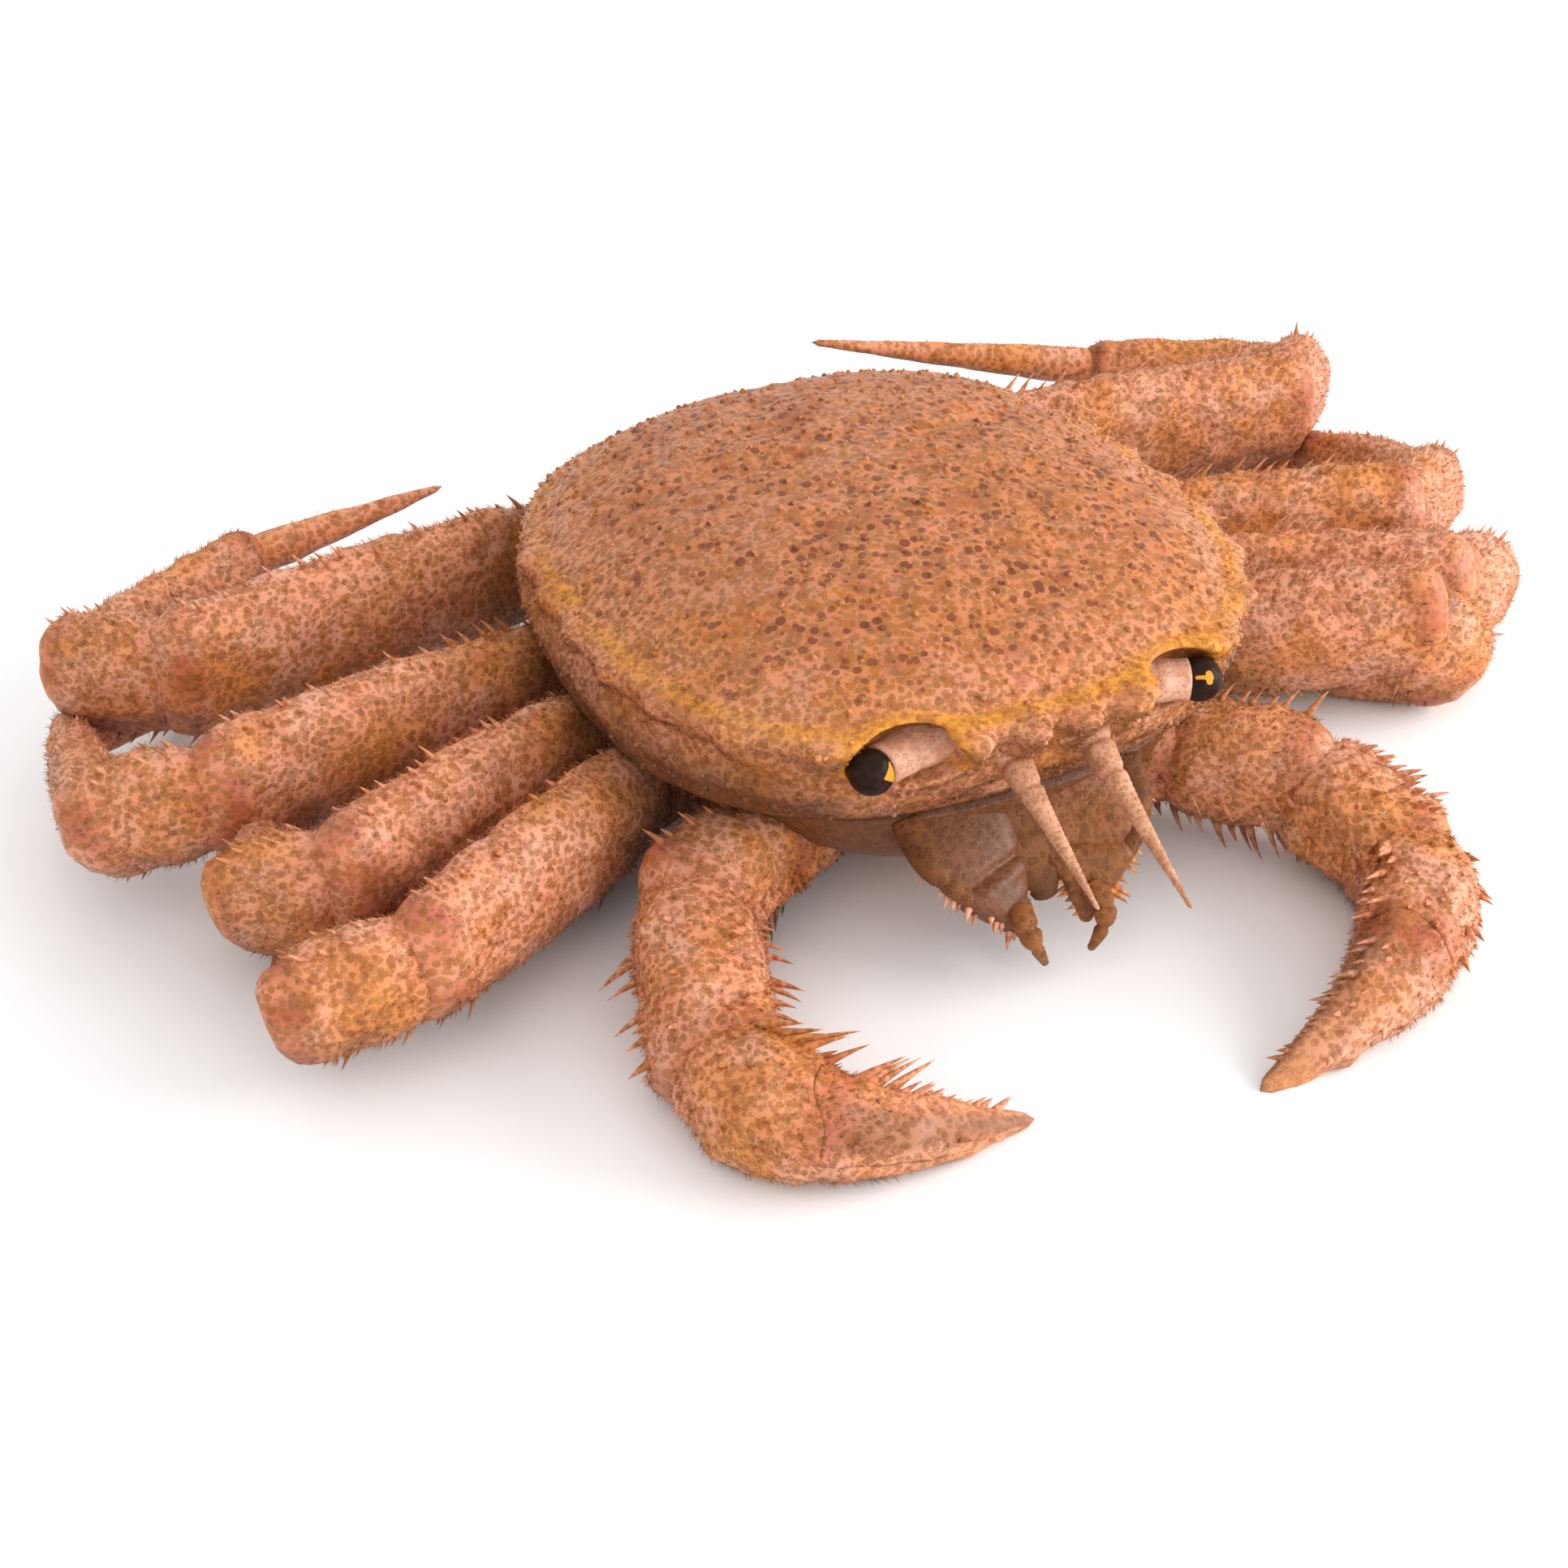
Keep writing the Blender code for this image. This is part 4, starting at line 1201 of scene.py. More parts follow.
@dataclass
class Segment:
    """One hard segment of a limb, with a narrow neck, a lip and a rounded far end."""

    name: str
    tube: Tube
    around: int = 48
    step: float = 1.0
    neck: float = 1.6
    lip: float = 0.22
    seed: int = 0
    keel: float = 0.0
    uneven: float = 1.0
    smooth: float = 0.7

    def rows(self) -> Array:
        """The rings of the shell: share along, distance past it, scale and swell.

        Returns:
            Four columns, one row a ring.
        """
        length = self.tube.length
        turn = np.linspace(0.0, math.pi / 2, 6)
        rows = [(0.0, -self.neck * math.cos(a), 0.9 * math.sin(a) ** 0.7, 0.0) for a in turn[:-1]]
        middle = np.linspace(0.0, length, max(int(length / self.step), 8) + 1)
        scale = 0.9 + 0.1 * soft_step(middle, 0.0, 3.4)
        swell = np.zeros_like(middle)
        if self.lip:
            swell += self.lip * hump(middle, length - 1.0, 0.9)
            swell -= self.lip * 0.8 * hump(middle, length - 3.0, 0.8)
            swell += self.lip * 0.5 * hump(middle, 3.2, 1.0)
        rows += list(zip(middle / length, np.zeros_like(middle), scale, swell))
        if self.tube.blunt:
            for a in turn[1:]:
                rows.append((1.0, self.tube.blunt * math.sin(a), 0.95 * math.cos(a) ** 0.6, 0.0))
        rows[-1] = (rows[-1][0], rows[-1][1], 0.0, 0.0)
        return np.array(rows)

    def shell(self) -> Mesh:
        """The closed shell, in millimetres.

        Returns:
            The mesh.
        """
        rows = self.rows()
        mesh, turn, row = ball_mesh(self.name, self.around, len(rows) - 1)
        along, past, scale, swell = rows[row].T
        base = self.tube.skin(along, turn, past, scale)
        uneven = Ripple(7.0, self.seed).at(base) * 0.26 + Ripple(3.0, self.seed + 1).at(base) * 0.10
        uneven *= self.uneven
        keel = self.keel * (np.abs(np.sin(turn)) ** 7 - 0.35 * np.abs(np.sin(2 * turn)) ** 2)
        swell = (swell + uneven + keel) * (scale > 0.05)
        points = self.tube.skin(along, turn, past, scale, swell)
        points[:, 2] = np.maximum(points[:, 2], 0.0)
        return settle(mesh, points)

    def marks(self, points: Array, normals: Array) -> Marks:
        """The markings at places on the shell.

        Args:
            points: Places, as three columns.
            normals: The outward direction at each.

        Returns:
            The markings.
        """
        _, _, reach = self.tube.locate(points)
        length = self.tube.length
        marks = Marks.none(len(points))
        patchy = soft_step(Ripple(9.0, self.seed + 5).at(points), -0.6, 1.0)
        ends = hump(reach, length + 1.5, 3.0) + 0.6 * hump(reach, 0.5, 2.2)
        marks.stain[:] = np.clip(ends * (0.3 + 0.8 * patchy), 0, 1)
        marks.dusk[:] = 0.05 + 0.30 * patchy
        # Painted shade: darker on the underside, in the crease at each joint, and where the limb runs
        # in under the carapace.
        under = soft_step(-normals[:, 2], 0.0, 0.85)
        crease_shade = 0.85 * hump(reach, 0.1, 0.55) + 0.6 * hump(reach, length + 0.6, 0.5)
        share, _ = outline_share(points)
        near = 0.5 * soft_step(share, 1.22, 1.04) * soft_step(points[:, 1], -40.0, -28.0)
        marks.shade[:] = np.clip(under * (0.4 + 0.3 * patchy) + crease_shade + near, 0, 1)
        membrane = soft_step(reach, length + 0.4, length + 1.6)
        marks.bare[:] = np.clip(membrane + soft_step(reach, 1.4, 0.0) + 0.55 * under, 0, 1)
        if self.name.endswith("dactyl"):
            marks.bare[:] = np.clip(marks.bare + self.smooth, 0, 1)
        return marks

    def flow(self, points: Array, normals: Array) -> Array:
        """The bristles lie towards the far end."""
        along, _, _ = self.tube.locate(points)
        return self.tube.axes(along)[0]


def spines(
    tube: Tube, draw: np.random.Generator, angle: float, first: float, last: float, count: int,
    length: float, width: float, lean: float = 0.6, spread: float = 12.0,
) -> tuple[Array, ...]:
    """A row of spines along a tube.

    Args:
        tube: The tube.
        draw: The source of chance.
        angle: The row's angle round the tube, in degrees.
        first: The share along at which it starts.
        last: The share along at which it ends.
        count: The number of spines.
        length: The length of a middling spine.
        width: Its width at its foot.
        lean: How far it leans towards the far end.
        spread: How far a spine may stand beside the row, in degrees.

    Returns:
        The roots, directions, lengths, widths and bends.
    """
    along = first + (last - first) * (np.arange(count) + draw.uniform(0.15, 0.85, count)) / count
    turn = np.radians(angle + draw.uniform(-spread, spread, count))
    roots = tube.skin(along, turn)
    ahead = tube.axes(along)[0]
    out = unit(roots - tube.point(along))
    lengths = length * draw.uniform(0.4, 1.25, count) ** 1.1
    ways = unit(out + ahead * lean)
    widths = width * draw.uniform(0.85, 1.15, count) * (0.6 + 0.4 * lengths / length)
    return roots, ways, lengths, widths, ahead * (lengths * 0.14)[:, None]


def spine_mesh(name: str, rows: list, marks: Callable, flat: float = 1.0) -> Mesh:
    """Rows of spines as one mesh.

    Args:
        name: The name of the mesh.
        rows: What spines gives, one for each row.
        marks: Gives the markings from places and normals.
        flat: The height of a spine's section as a share of its width.

    Returns:
        The mesh, in millimetres.
    """
    columns = [np.concatenate(column) for column in zip(*rows)]
    growth = Growth(*columns, flat=flat)
    mesh = growth.mesh(name)
    painted = marks(columns[0], columns[1])
    painted.tip[:] = 0.0
    painted.rim[:] *= 0.5
    add_marks(mesh, painted.layers(), growth.per_spike)
    return mesh


@dataclass(frozen=True)
class Limb:
    """A limb's root, and the length, heading and pitch of each segment on each side. A heading
    of 0 points straight out to the side, 90 backwards and -90 ahead."""

    root: tuple
    right: tuple
    left: tuple
    tall: float = 1.0

    def joints(self, side: Side) -> Array:
        """The joints from the root to the tip.

        Args:
            side: The side of the crab.

        Returns:
            The places, as three columns.
        """
        points = [side.of(self.root)]
        for length, heading, pitch in self.left if side is Side.LEFT else self.right:
            heading, pitch = math.radians(heading), math.radians(pitch)
            level = math.cos(pitch)
            step = (math.cos(heading) * level, math.sin(heading) * level, math.sin(pitch))
            points.append(points[-1] + side.of(step) * length)
        return np.array(points)


LEGS = {
    1: Limb(
        (24, -9, 12),
        right=((15.5, -18, 4), (45, -31, 2.5), (16, 0, -8), (27, 140, -17), (30, 150, -8.8)),
        left=((14, -18, 4), (39.5, -22, 5), (11.5, -8, -54), (25, 146, -2), (27, 158, -9)),
    ),
    2: Limb(
        (26, 2.5, 12),
        right=((15.5, -13, 5), (46, -26, 5), (13.5, 24, -18), (28, 112, -16), (31, 138, -10.4)),
        left=((16, -13, 4), (47, -26, 3), (15, 22, -26), (28, 110, -11), (32, 138, -6.4)),
    ),
    3: Limb(
        (25, 14, 12.5),
        right=((15.5, 2, 6), (54, -15, 5), (16.5, 14, -11), (30, 92, -14), (34, 146, -14.4)),
        left=((15, 0, 4), (52, -18, 2), (16.5, 30, -12), (29, 96, -14), (33, 146, -8.4)),
    ),
    4: Limb(
        (18, 32, 13),
        right=((17, 38, 9), (61.5, -13, 3.4), (15.5, 34, -6), (31, 152, 5), (34, 166, 0)),
        left=((17, 38, 8), (63, -8, 0.5), (15, 46, -10), (35, 158, 6), (51, 168, 11.5)),
        tall=1.1,
    ),
}
CLAW = Limb(
    (15, -23, 12),
    right=((15.8, -24, -2.2), (15, -24, -2.2), (25.5, -75, -8), (16.5, -118, -3), (26.5, -171, -13)),
    left=((17.5, -42, -0.3), (18.3, -42, -0.3), (17.4, -70, -16), (20.2, -126, -2), (26.2, -165, -14)),
)


@dataclass
class WalkingLeg:
    """One walking leg: five hard segments, spiny edges above and below, and short bristles."""

    number: int
    side: Side
    bench: Bench
    spacing: float = 1.15
    bristle: float = 0.8

    ROWS = {
        "merus": ((92, 0.08, 1.0, 19, 3.8), (76, 0.1, 1.0, 14, 1.8), (268, 0.1, 1.0, 15, 4.2),
                  (286, 0.15, 1.0, 10, 1.6)),
        "carpus": ((90, 0.15, 1.0, 9, 3.0), (70, 0.2, 1.0, 6, 1.8), (270, 0.2, 1.0, 9, 3.4),
                   (290, 0.2, 1.0, 5, 1.8)),
        "propodus": ((90, 0.12, 0.95, 9, 1.6), (60, 0.12, 0.9, 7, 1.1), (270, 0.15, 0.9, 6, 1.3)),
    }

    @property
    def name(self) -> str:
        """The leg's name, as its nodes begin."""
        return f"leg_{self.number}_{self.side.letter}"

    def segments(self) -> list[Segment]:
        """The leg's segments from the body outwards.

        Returns:
            Five segments.
        """
        joints = LEGS[self.number].joints(self.side)
        found = []
        for place, part in enumerate(LEG_SEGMENTS):
            tall = LEGS[self.number].tall if part in LEG_SEGMENTS[:3] else 1.0
            sections = tuple((a, wide, high * tall) for a, wide, high in LEG_SECTIONS[part])
            tube = Tube(joints[place:place + 2], sections, LEG_BLUNT[part])
            seed = SEED + self.number * 20 + place * 2 + (self.side is Side.LEFT) * 200
            lip = 0.0 if part == "dactyl" else 0.2
            around = 32 if part == "dactyl" else 44
            keel, uneven = (0.2, 0.25) if part == "dactyl" else (0.8, 1.0)
            name = f"{self.name}_{part}"
            found.append(Segment(name, tube, around, 1.2, 1.4, lip, seed, keel, uneven))
        return found

    def build(self) -> None:
        """Makes the leg's pieces."""
        draw = np.random.default_rng(SEED + self.number * 2 + (self.side is Side.LEFT))
        tufts = Tufts()
        segments = self.segments()
        for place, segment in enumerate(segments):
            part = LEG_SEGMENTS[place]
            mesh = segment.shell()
            surface = Surface.of(mesh)
            add_marks(mesh, segment.marks(surface.points, surface.normals).layers())
            length = self.bristle * (0.7 if part == "dactyl" else 1.0)
            tufts.gather(surface, self.spacing, length, segment.marks, segment.flow,
                         unwrap_of(segment.tube, place, len(segments)), draw)
            self.bench.finish(segment.name, mesh, SHELL, "shell", segment.name)
            if part in self.ROWS:
                shorter = 0.6 if part == "propodus" and self.number == 4 else 1.0
                rows = [spines(segment.tube, draw, angle, *row, size * shorter, 1.05)
                        for angle, *row, size in self.ROWS[part]]
                made = spine_mesh(f"{segment.name}_spines", rows, segment.marks)
                self.bench.finish(made.name, made, SPINE, "shell")
        coat = tufts.mesh(f"{self.name}_coat", self.bench, draw)
        self.bench.finish(coat.name, coat, BRISTLE, "shell")


def unwrap_of(tube: Tube, place: int, count: int) -> Callable:
    """A strip of the unit square for one tube of several.

    Args:
        tube: The tube.
        place: Which strip it has.
        count: How many strips there are.

    Returns:
        A function that gives the place of each point on the strip, as two columns.
    """
    def unwrap(points: Array) -> Array:
        """The share along and the angle round, inside the strip.

        Args:
            points: Places, as three columns.

        Returns:
            Two columns, from 0 to 1.
        """
        along, angle, _ = tube.locate(points)
        across = (place + 0.04 + 0.92 * (angle / math.tau + 0.5)) / count
        return np.stack((0.02 + 0.96 * along, across), axis=-1)

    return unwrap


@dataclass
class ClawLimb:
    """A claw limb: four hard segments and the movable finger, with strong spines."""

    side: Side
    bench: Bench
    spacing: float = 1.15
    bristle: float = 0.8
    # The angle of the fingers' inner edge, which takes painted shade, in degrees.
    shaded_edge: float = 45.0
    finger_room: tuple = (60.0, 60.0, 40.0)
    hinge_steps: int = 60
    hinge_bow: float = 3.4
    hinge_width: float = 5.5

    ROWS = {
        "merus": ((-56, 0.0, 1.0, 10, 3.8), (0, 0.0, 1.0, 9, 3.8), (115, 0.3, 1.0, 6, 3.4)),
        "carpus": ((0, 0.1, 1.0, 9, 3.6), (30, 0.15, 1.0, 7, 2.0), (90, 0.15, 1.0, 7, 1.8),
                   (60, 0.2, 1.0, 7, 1.8), (120, 0.2, 1.0, 7, 1.9)),
        "palm": ((50, 0.06, 0.48, 8, 6.0), (30, 0.06, 0.46, 8, 2.2), (165, 0.05, 0.5, 11, 2.4),
                 (165, 0.55, 0.9, 7, 1.3), (85, 0.1, 0.46, 8, 1.1), (115, 0.08, 0.46, 8, 1.1),
                 (-75, 0.1, 0.9, 10, 1.3)),
        "finger": ((55, 0.55, 0.78, 7, 4.6), (55, 0.72, 0.94, 11, 1.9), (90, 0.55, 0.85, 7, 0.9)),
    }
    FORWARD = {"merus": 0.45, "carpus": 0.55, "palm": 1.15, "finger": 1.3}

    @property
    def name(self) -> str:
        """The limb's name, as its nodes begin."""
        return f"cheliped_{self.side.letter}"

    def segments(self) -> list[Segment]:
        """The limb's segments from the body outwards, with both fingers in the last.

        Returns:
            Four segments.
        """
        joints = CLAW.joints(self.side)
        found = []
        for place, part in enumerate(CLAW_SEGMENTS):
            path = joints[3:] if part == "palm" else joints[place:place + 2]
            tube = Tube(path, CLAW_SECTIONS[part], CLAW_BLUNT[part])
            seed = SEED + 300 + place * 2 + (self.side is Side.LEFT) * 20
            lip = 0.0 if part == "palm" else 0.26
            found.append(Segment(f"{self.name}_{part}", tube, 60, 0.8, 1.8, lip, seed))
        return found

    def finger_block(self, tube: Tube, gap: float) -> Mesh:
        """A block round the movable finger, bigger by the gap, with a bowed face at the hinge.

        Args:
            tube: The tube of the palm and its fingers.
            gap: How much bigger it is, in millimetres.

        Returns:
            The block.
        """
        from_here = np.array(FINGER_FROM)
        ahead = tube.axes(from_here)[0]
        hinge = tube.point(from_here)
        lift = unit(np.cross(tube.point(np.array(1.0)) - hinge, np.cross(ahead, UP)))
        lift = lift if lift[2] > 0 else -lift
        level = unit(np.cross(lift, ahead))
        forward = np.cross(level, lift)
        corner = hinge - (forward + lift) * gap
        bm = bmesh.new()
        bmesh.ops.create_grid(bm, x_segments=self.hinge_steps, y_segments=1, size=1.0)
        made = bmesh.ops.extrude_face_region(bm, geom=bm.faces[:])["geom"]
        upper = [item for item in made if isinstance(item, bmesh.types.BMVert)]
        bmesh.ops.translate(bm, vec=(0.0, 0.0, 1.0), verts=upper)
        reach, width, height = self.finger_room
        for vert in bm.verts:
            across, along, rise = vert.co
            off = across * width / 2
            bow = self.hinge_bow * hump(np.array(off), 0.0, self.hinge_width) if along < 0 else 0.0
            place = forward * (reach * (along + 1) / 2 - bow) + level * off + lift * height * rise
            vert.co = corner + place
        bmesh.ops.recalc_face_normals(bm, faces=bm.faces)
        if bm.calc_volume(signed=True) < 0:
            bmesh.ops.reverse_faces(bm, faces=bm.faces)
        return to_mesh(bm, "block")

    def palm_marks(self, segment: Segment) -> Callable:
        """The markings of the palm and the fingers, whose tips are pale and smooth and whose inner edge
        carries painted shade.

        Args:
            segment: The palm with its fingers.

        Returns:
            A function of places and normals.
        """
        def marks(points: Array, normals: Array) -> Marks:
            """The markings at places on the palm or a finger.

            Args:
                points: Places, as three columns.
                normals: The outward direction at each.

            Returns:
                The markings.
            """
            along, angle, _ = segment.tube.locate(points)
            found = segment.marks(points, normals)
            hinge = hump(along, 0.5, 0.07) * soft_step(np.sin(angle), -0.2, 0.6)
            found.stain[:] = np.clip(0.5 * hump(along, 0.0, 0.06) + 0.9 * hinge, 0, 1)
            found.tip[:] = 0.55 * soft_step(along, 0.68, 1.0)
            # Painted shade along the fingers' inner edge.
            inner = soft_step(np.cos(angle - math.radians(self.shaded_edge)), 0.70, 0.98)
            inner *= soft_step(along, 0.40, 0.62)
            found.shade[:] = np.maximum(found.shade, 0.6 * inner)
            found.bare[:] = np.clip(found.bare * (along < 0.5) + soft_step(along, 0.5, 0.8), 0, 1)
            return found

        return marks

    def build(self) -> None:
        """Makes the limb's pieces."""
        draw = np.random.default_rng(SEED + 50 + self.side.value)
        tufts = Tufts()
        segments = self.segments()
        for place, segment in enumerate(segments):
            part = CLAW_SEGMENTS[place]
            unwrap = unwrap_of(segment.tube, place, len(segments))
            if part == "palm":
                self.build_claw(segment, unwrap, tufts, draw)
                continue
            mesh = segment.shell()
            surface = Surface.of(mesh)
            add_marks(mesh, segment.marks(surface.points, surface.normals).layers())
            tufts.gather(surface, self.spacing, self.bristle, segment.marks, segment.flow, unwrap, draw)
            self.bench.finish(segment.name, mesh, SHELL, "shell", segment.name)
            self.add_spines(part, segment, segment.marks, draw)
        coat = tufts.mesh(f"{self.name}_coat", self.bench, draw)
        self.bench.finish(coat.name, coat, BRISTLE, "shell")

    def build_claw(
        self, segment: Segment, unwrap: Callable, tufts: Tufts, draw: np.random.Generator,
    ) -> None:
        """Makes the palm with its fixed finger, and the movable finger above it.

        Args:
            segment: The palm with its fingers.
            unwrap: Gives each place on its unwrap.
            tufts: Takes its bristles.
            draw: The source of chance.
        """
        marks = self.palm_marks(segment)
        halves = (("palm", "DIFFERENCE", 0.03), ("finger", "INTERSECT", -0.06))
        for part, operation, gap in halves:
            mesh = cut(segment.shell(), self.finger_block(segment.tube, gap), operation)
            surface = Surface.of(mesh)
            add_marks(mesh, marks(surface.points, surface.normals).layers())
            tufts.gather(surface, self.spacing, self.bristle, marks, segment.flow, unwrap, draw)
            name = f"{self.name}_{part}"
            self.bench.finish(name, mesh, SHELL, "shell", name)
            self.add_spines(part, segment, marks, draw)

    def add_spines(
        self, part: str, segment: Segment, marks: Callable, draw: np.random.Generator,
    ) -> None:
        """Makes the spines of one segment, whose rows are set from the side by the mouth.

        Args:
            part: The segment's kind.
            segment: The segment.
            marks: Gives the markings from places and normals.
            draw: The source of chance.
        """
        rows = list(self.ROWS.get(part, ()))
        if part == "carpus":
            outer, large = (145, 3.4) if self.side is Side.LEFT else (180, 5.0)
            rows += [(outer, 0.2, 1.0, 4, large), (outer, 0.05, 1.0, 8, 2.4)]
        if not rows:
            return
        made = []
        for lift, *row in rows:
            angle = lift if self.side is Side.LEFT else 180 - lift
            width = 0.85 + 0.07 * row[-1]
            made.append(spines(segment.tube, draw, angle, *row, width, self.FORWARD[part]))
        mesh = spine_mesh(f"{self.name}_{part}_spines", made, marks)
        self.bench.finish(mesh.name, mesh, SPINE, "shell")


def outline(turn: Array, side: Array, front: Array, rear: Array) -> Array:
    """Points of the carapace's outline, seen from above.

    Args:
        turn: The angle from straight ahead, towards the left.
        side: The share of the full width that is used.
        front: The share of the reach ahead.
        rear: The share of the reach behind.

    Returns:
        The points, as two columns.
    """
    c, s = np.cos(turn), np.sin(turn)
    half_length = np.where(c > 0, FRONT_REACH * front, REAR_REACH * rear)
    reach = (np.abs(s) / (HALF_WIDTH * side)) ** OUTLINE_POWER
    reach = (reach + (np.abs(c) / half_length) ** OUTLINE_POWER) ** (-1 / OUTLINE_POWER)
    return np.stack((reach * s, -reach * c), axis=-1)


def outline_share(points: Array) -> tuple[Array, Array]:
    """How far out points lie, as a share of the outline, and their turn from straight ahead.

    Args:
        points: Places, as three columns.

    Returns:
        The shares and the turns, in radians.
    """
    turn = np.arctan2(points[:, 0], -points[:, 1])
    ones = np.ones(len(points))
    edge = np.linalg.norm(outline(turn, ones, ones, ones), axis=1)
    return np.linalg.norm(points[:, :2], axis=1) / edge, turn


def ridge_height(turn: Array) -> Array:
    """The height of the ridge along the carapace's edge."""
    return RIDGE_HEIGHT + RIDGE_RISE * np.cos(turn)


def dome_height(share: Array, turn: Array) -> Array:
    """The height of the back where the outline is shrunk to this share."""
    ridge = ridge_height(turn)
    return ridge + (CROWN_HEIGHT - ridge) * (1 - np.clip(share, 0, 1) ** 2.4) ** 0.75


@dataclass
class Carapace:
    """The shield over the back, with its toothed edge, the teeth between the eyes, the sockets
    and the short stalks that carry the eyes."""

    bench: Bench
    around: int = 240
    wall_rows: int = 26
    dome_rows: int = 66
    spacing: float = 1.25
    bristle: float = 0.45
    brow: tuple = ((3.6, 2.0, 3.6), (11.2, 2.3, 3.2), (16.0, 1.6, 1.2))
    teeth: tuple = (33, 46, 59, 72, 85, 98, 111)
    small_teeth: tuple = (35, 118, 2.6)
    rear_teeth: tuple = (119, 178, 2.6)
    inwards: float = 45.0
    grain_spacing: float = 2.6
    grain_share: float = 0.6

    def rows(self) -> dict[str, Array]:
        """The rings of the shield: shares of the outline, and where each is on wall or dome.

        Returns:
            One value a ring, by name.
        """
        foot = np.linspace(0.0, 1.0, 5)[:-1]
        wall = np.linspace(0.0, 1.0, self.wall_rows)
        dome = np.linspace(1.0, 0.0, self.dome_rows + 1)[1:] ** 0.92
        places = (0.0, 0.1, 0.5, 1.0)
        side = table(places, (0.93, 1.035, 1.055, 1.0), 0.06)(wall)
        front = table(places, (0.86, 0.91, 0.96, 1.0), 0.06)(wall)
        rear = table(places, (0.92, 0.97, 1.0, 1.0), 0.06)(wall)
        grow = foot[1:]
        return {
            "side": np.concatenate(((1e-4,), grow * side[0], side, dome[:-1], (1e-4,))),
            "front": np.concatenate(((1e-4,), grow * front[0], front, dome[:-1], (1e-4,))),
            "rear": np.concatenate(((1e-4,), grow * rear[0], rear, dome[:-1], (1e-4,))),
            "wall": np.concatenate((np.zeros(4), wall, np.full(len(dome), 2.0))),
            "share": np.concatenate((np.ones(4 + len(wall)), dome)),
        }

    def height(self, wall: Array, share: Array, turn: Array) -> Array:
        """The height of each point, from its place up the wall or in from the ridge.

        Args:
            wall: The share up the wall, or 2 on the dome.
            share: The share of the outline.
            turn: The angle from straight ahead.

        Returns:
            The heights.
        """
        ridge = ridge_height(turn)
        low = np.interp(wall, (0.0, 0.1, 0.5), (21.0, 22.1, WALL_BULGE))
        upper = WALL_BULGE + (ridge - WALL_BULGE) * np.clip((wall - 0.5) / 0.5, 0, 1)
        up_wall = np.where(wall < 0.5, low, upper)
        return np.where(wall > 1.5, dome_height(share, turn), up_wall)

    def socket_reach(self, points: Array) -> Array:
        """How far points are from the nearer socket's middle, in the socket's own radii."""
        off = (points * np.where(points[:, :1] < 0, (-1.0, 1.0, 1.0), (1.0, 1.0, 1.0)) - SOCKET)
        return np.linalg.norm(off / SOCKET_SIZE, axis=1)

    def relief(self, points: Array, share: Array) -> Array:
        """How far the back is raised or sunk, in millimetres: its regions and their grooves.

        Args:
            points: Places, as three columns.
            share: The share of the outline at each.

        Returns:
            One value a point.
        """
        x, y = np.abs(points[:, 0]), points[:, 1]
        neck = 6.0 + 0.016 * x**2 - 0.30 * x
        groove = hump(y - neck, 0.0, 2.2) * soft_step(x, 34.0, 24.0) * soft_step(x, 5.0, 10.0)
        heart = hump(np.hypot(x / 9.5, (y - 17.0) / 10.5), 1.0, 0.20) * (y > -2)
        stomach = hump(np.hypot(x / 15.0, (y + 19.0) / 17.0), 1.0, 0.13) * soft_step(y, -4.0, -12.0)
        sunk = 0.75 * groove + 0.55 * heart + 0.5 * stomach
        bump = Ripple(11.0, 5).at(points) * 0.22 + Ripple(5.0, 6).at(points) * 0.16
        return (bump - sunk - 0.25) * soft_step(share, 1.0, 0.86)

    def lobes(self, points: Array, turn: Array, edge: Array) -> Array:
        """How the ridge is drawn out: the rounded teeth of the brow, then those of the sides.

        Args:
            points: Places, as three columns.
            turn: The angle of each from straight ahead.
            edge: The distance of each from the ridge.

        Returns:
            The move of each point.
        """
        x = np.abs(points[:, 0])
        brow = sum(reach * hump(x, at, width) for at, width, reach in self.brow)
        moved = np.zeros_like(points)
        moved[:, 1] = -brow * hump(edge, 0.0, 2.2) * (np.abs(turn) < 0.7)
        place = np.degrees(np.abs(turn))
        teeth = sum(hump(place, at, 2.4) for at in self.teeth)
        out = unit(points * (1.0, 1.0, 0.0))
        return moved + out * (1.5 * teeth * hump(edge, 0.0, 1.9))[:, None]

    def shell(self) -> Mesh:
        """The shield with its sockets cut, in millimetres.

        Returns:
            The mesh.
        """
        rows = self.rows()
        mesh, turn, row = ball_mesh("carapace", self.around, len(rows["side"]) - 1)
        side, front, rear, wall, share = (rows[key][row] for key in rows)
        flat = outline(turn, side, front, rear)
        points = np.column_stack((flat, self.height(wall, share, turn)))
        points[:, 2] += self.relief(points, share) * (wall > 1.5)
        out = unit(np.column_stack((flat, np.zeros(len(flat)))))
        edge = np.where(wall > 1.5, (1 - share) * self.inwards, (1 - wall) * 8.0)
        points += self.lobes(points, turn, edge)
        bead = hump(edge, 0.0, 1.1)
        points += out * (bead * 0.9)[:, None] + UP * (bead * 0.5)[:, None]
        points -= UP * (0.4 * hump(edge, 2.8, 1.3) * (wall > 1.5))[:, None]
        brow = hump(self.socket_reach(points), 1.12, 0.16) * (points[:, 2] > 27)
        points += out * (brow * 0.6)[:, None] + UP * (brow * 0.5)[:, None]
        side_wall = Ripple(6.0, 9).at(points) * 0.2 * (wall > 0.05) * (wall < 0.9)
        points += out * side_wall[:, None]
        mesh = settle(mesh, points)
        for which in Side:
            mesh = cut(mesh, oval_mesh("socket", which.of(SOCKET), SOCKET_SIZE, 48), "DIFFERENCE")
            room = np.full(3, EYE_RADIUS + 0.25)
            mesh = cut(mesh, oval_mesh("room", which.of(EYE), room), "DIFFERENCE")
        bm = bmesh.new()
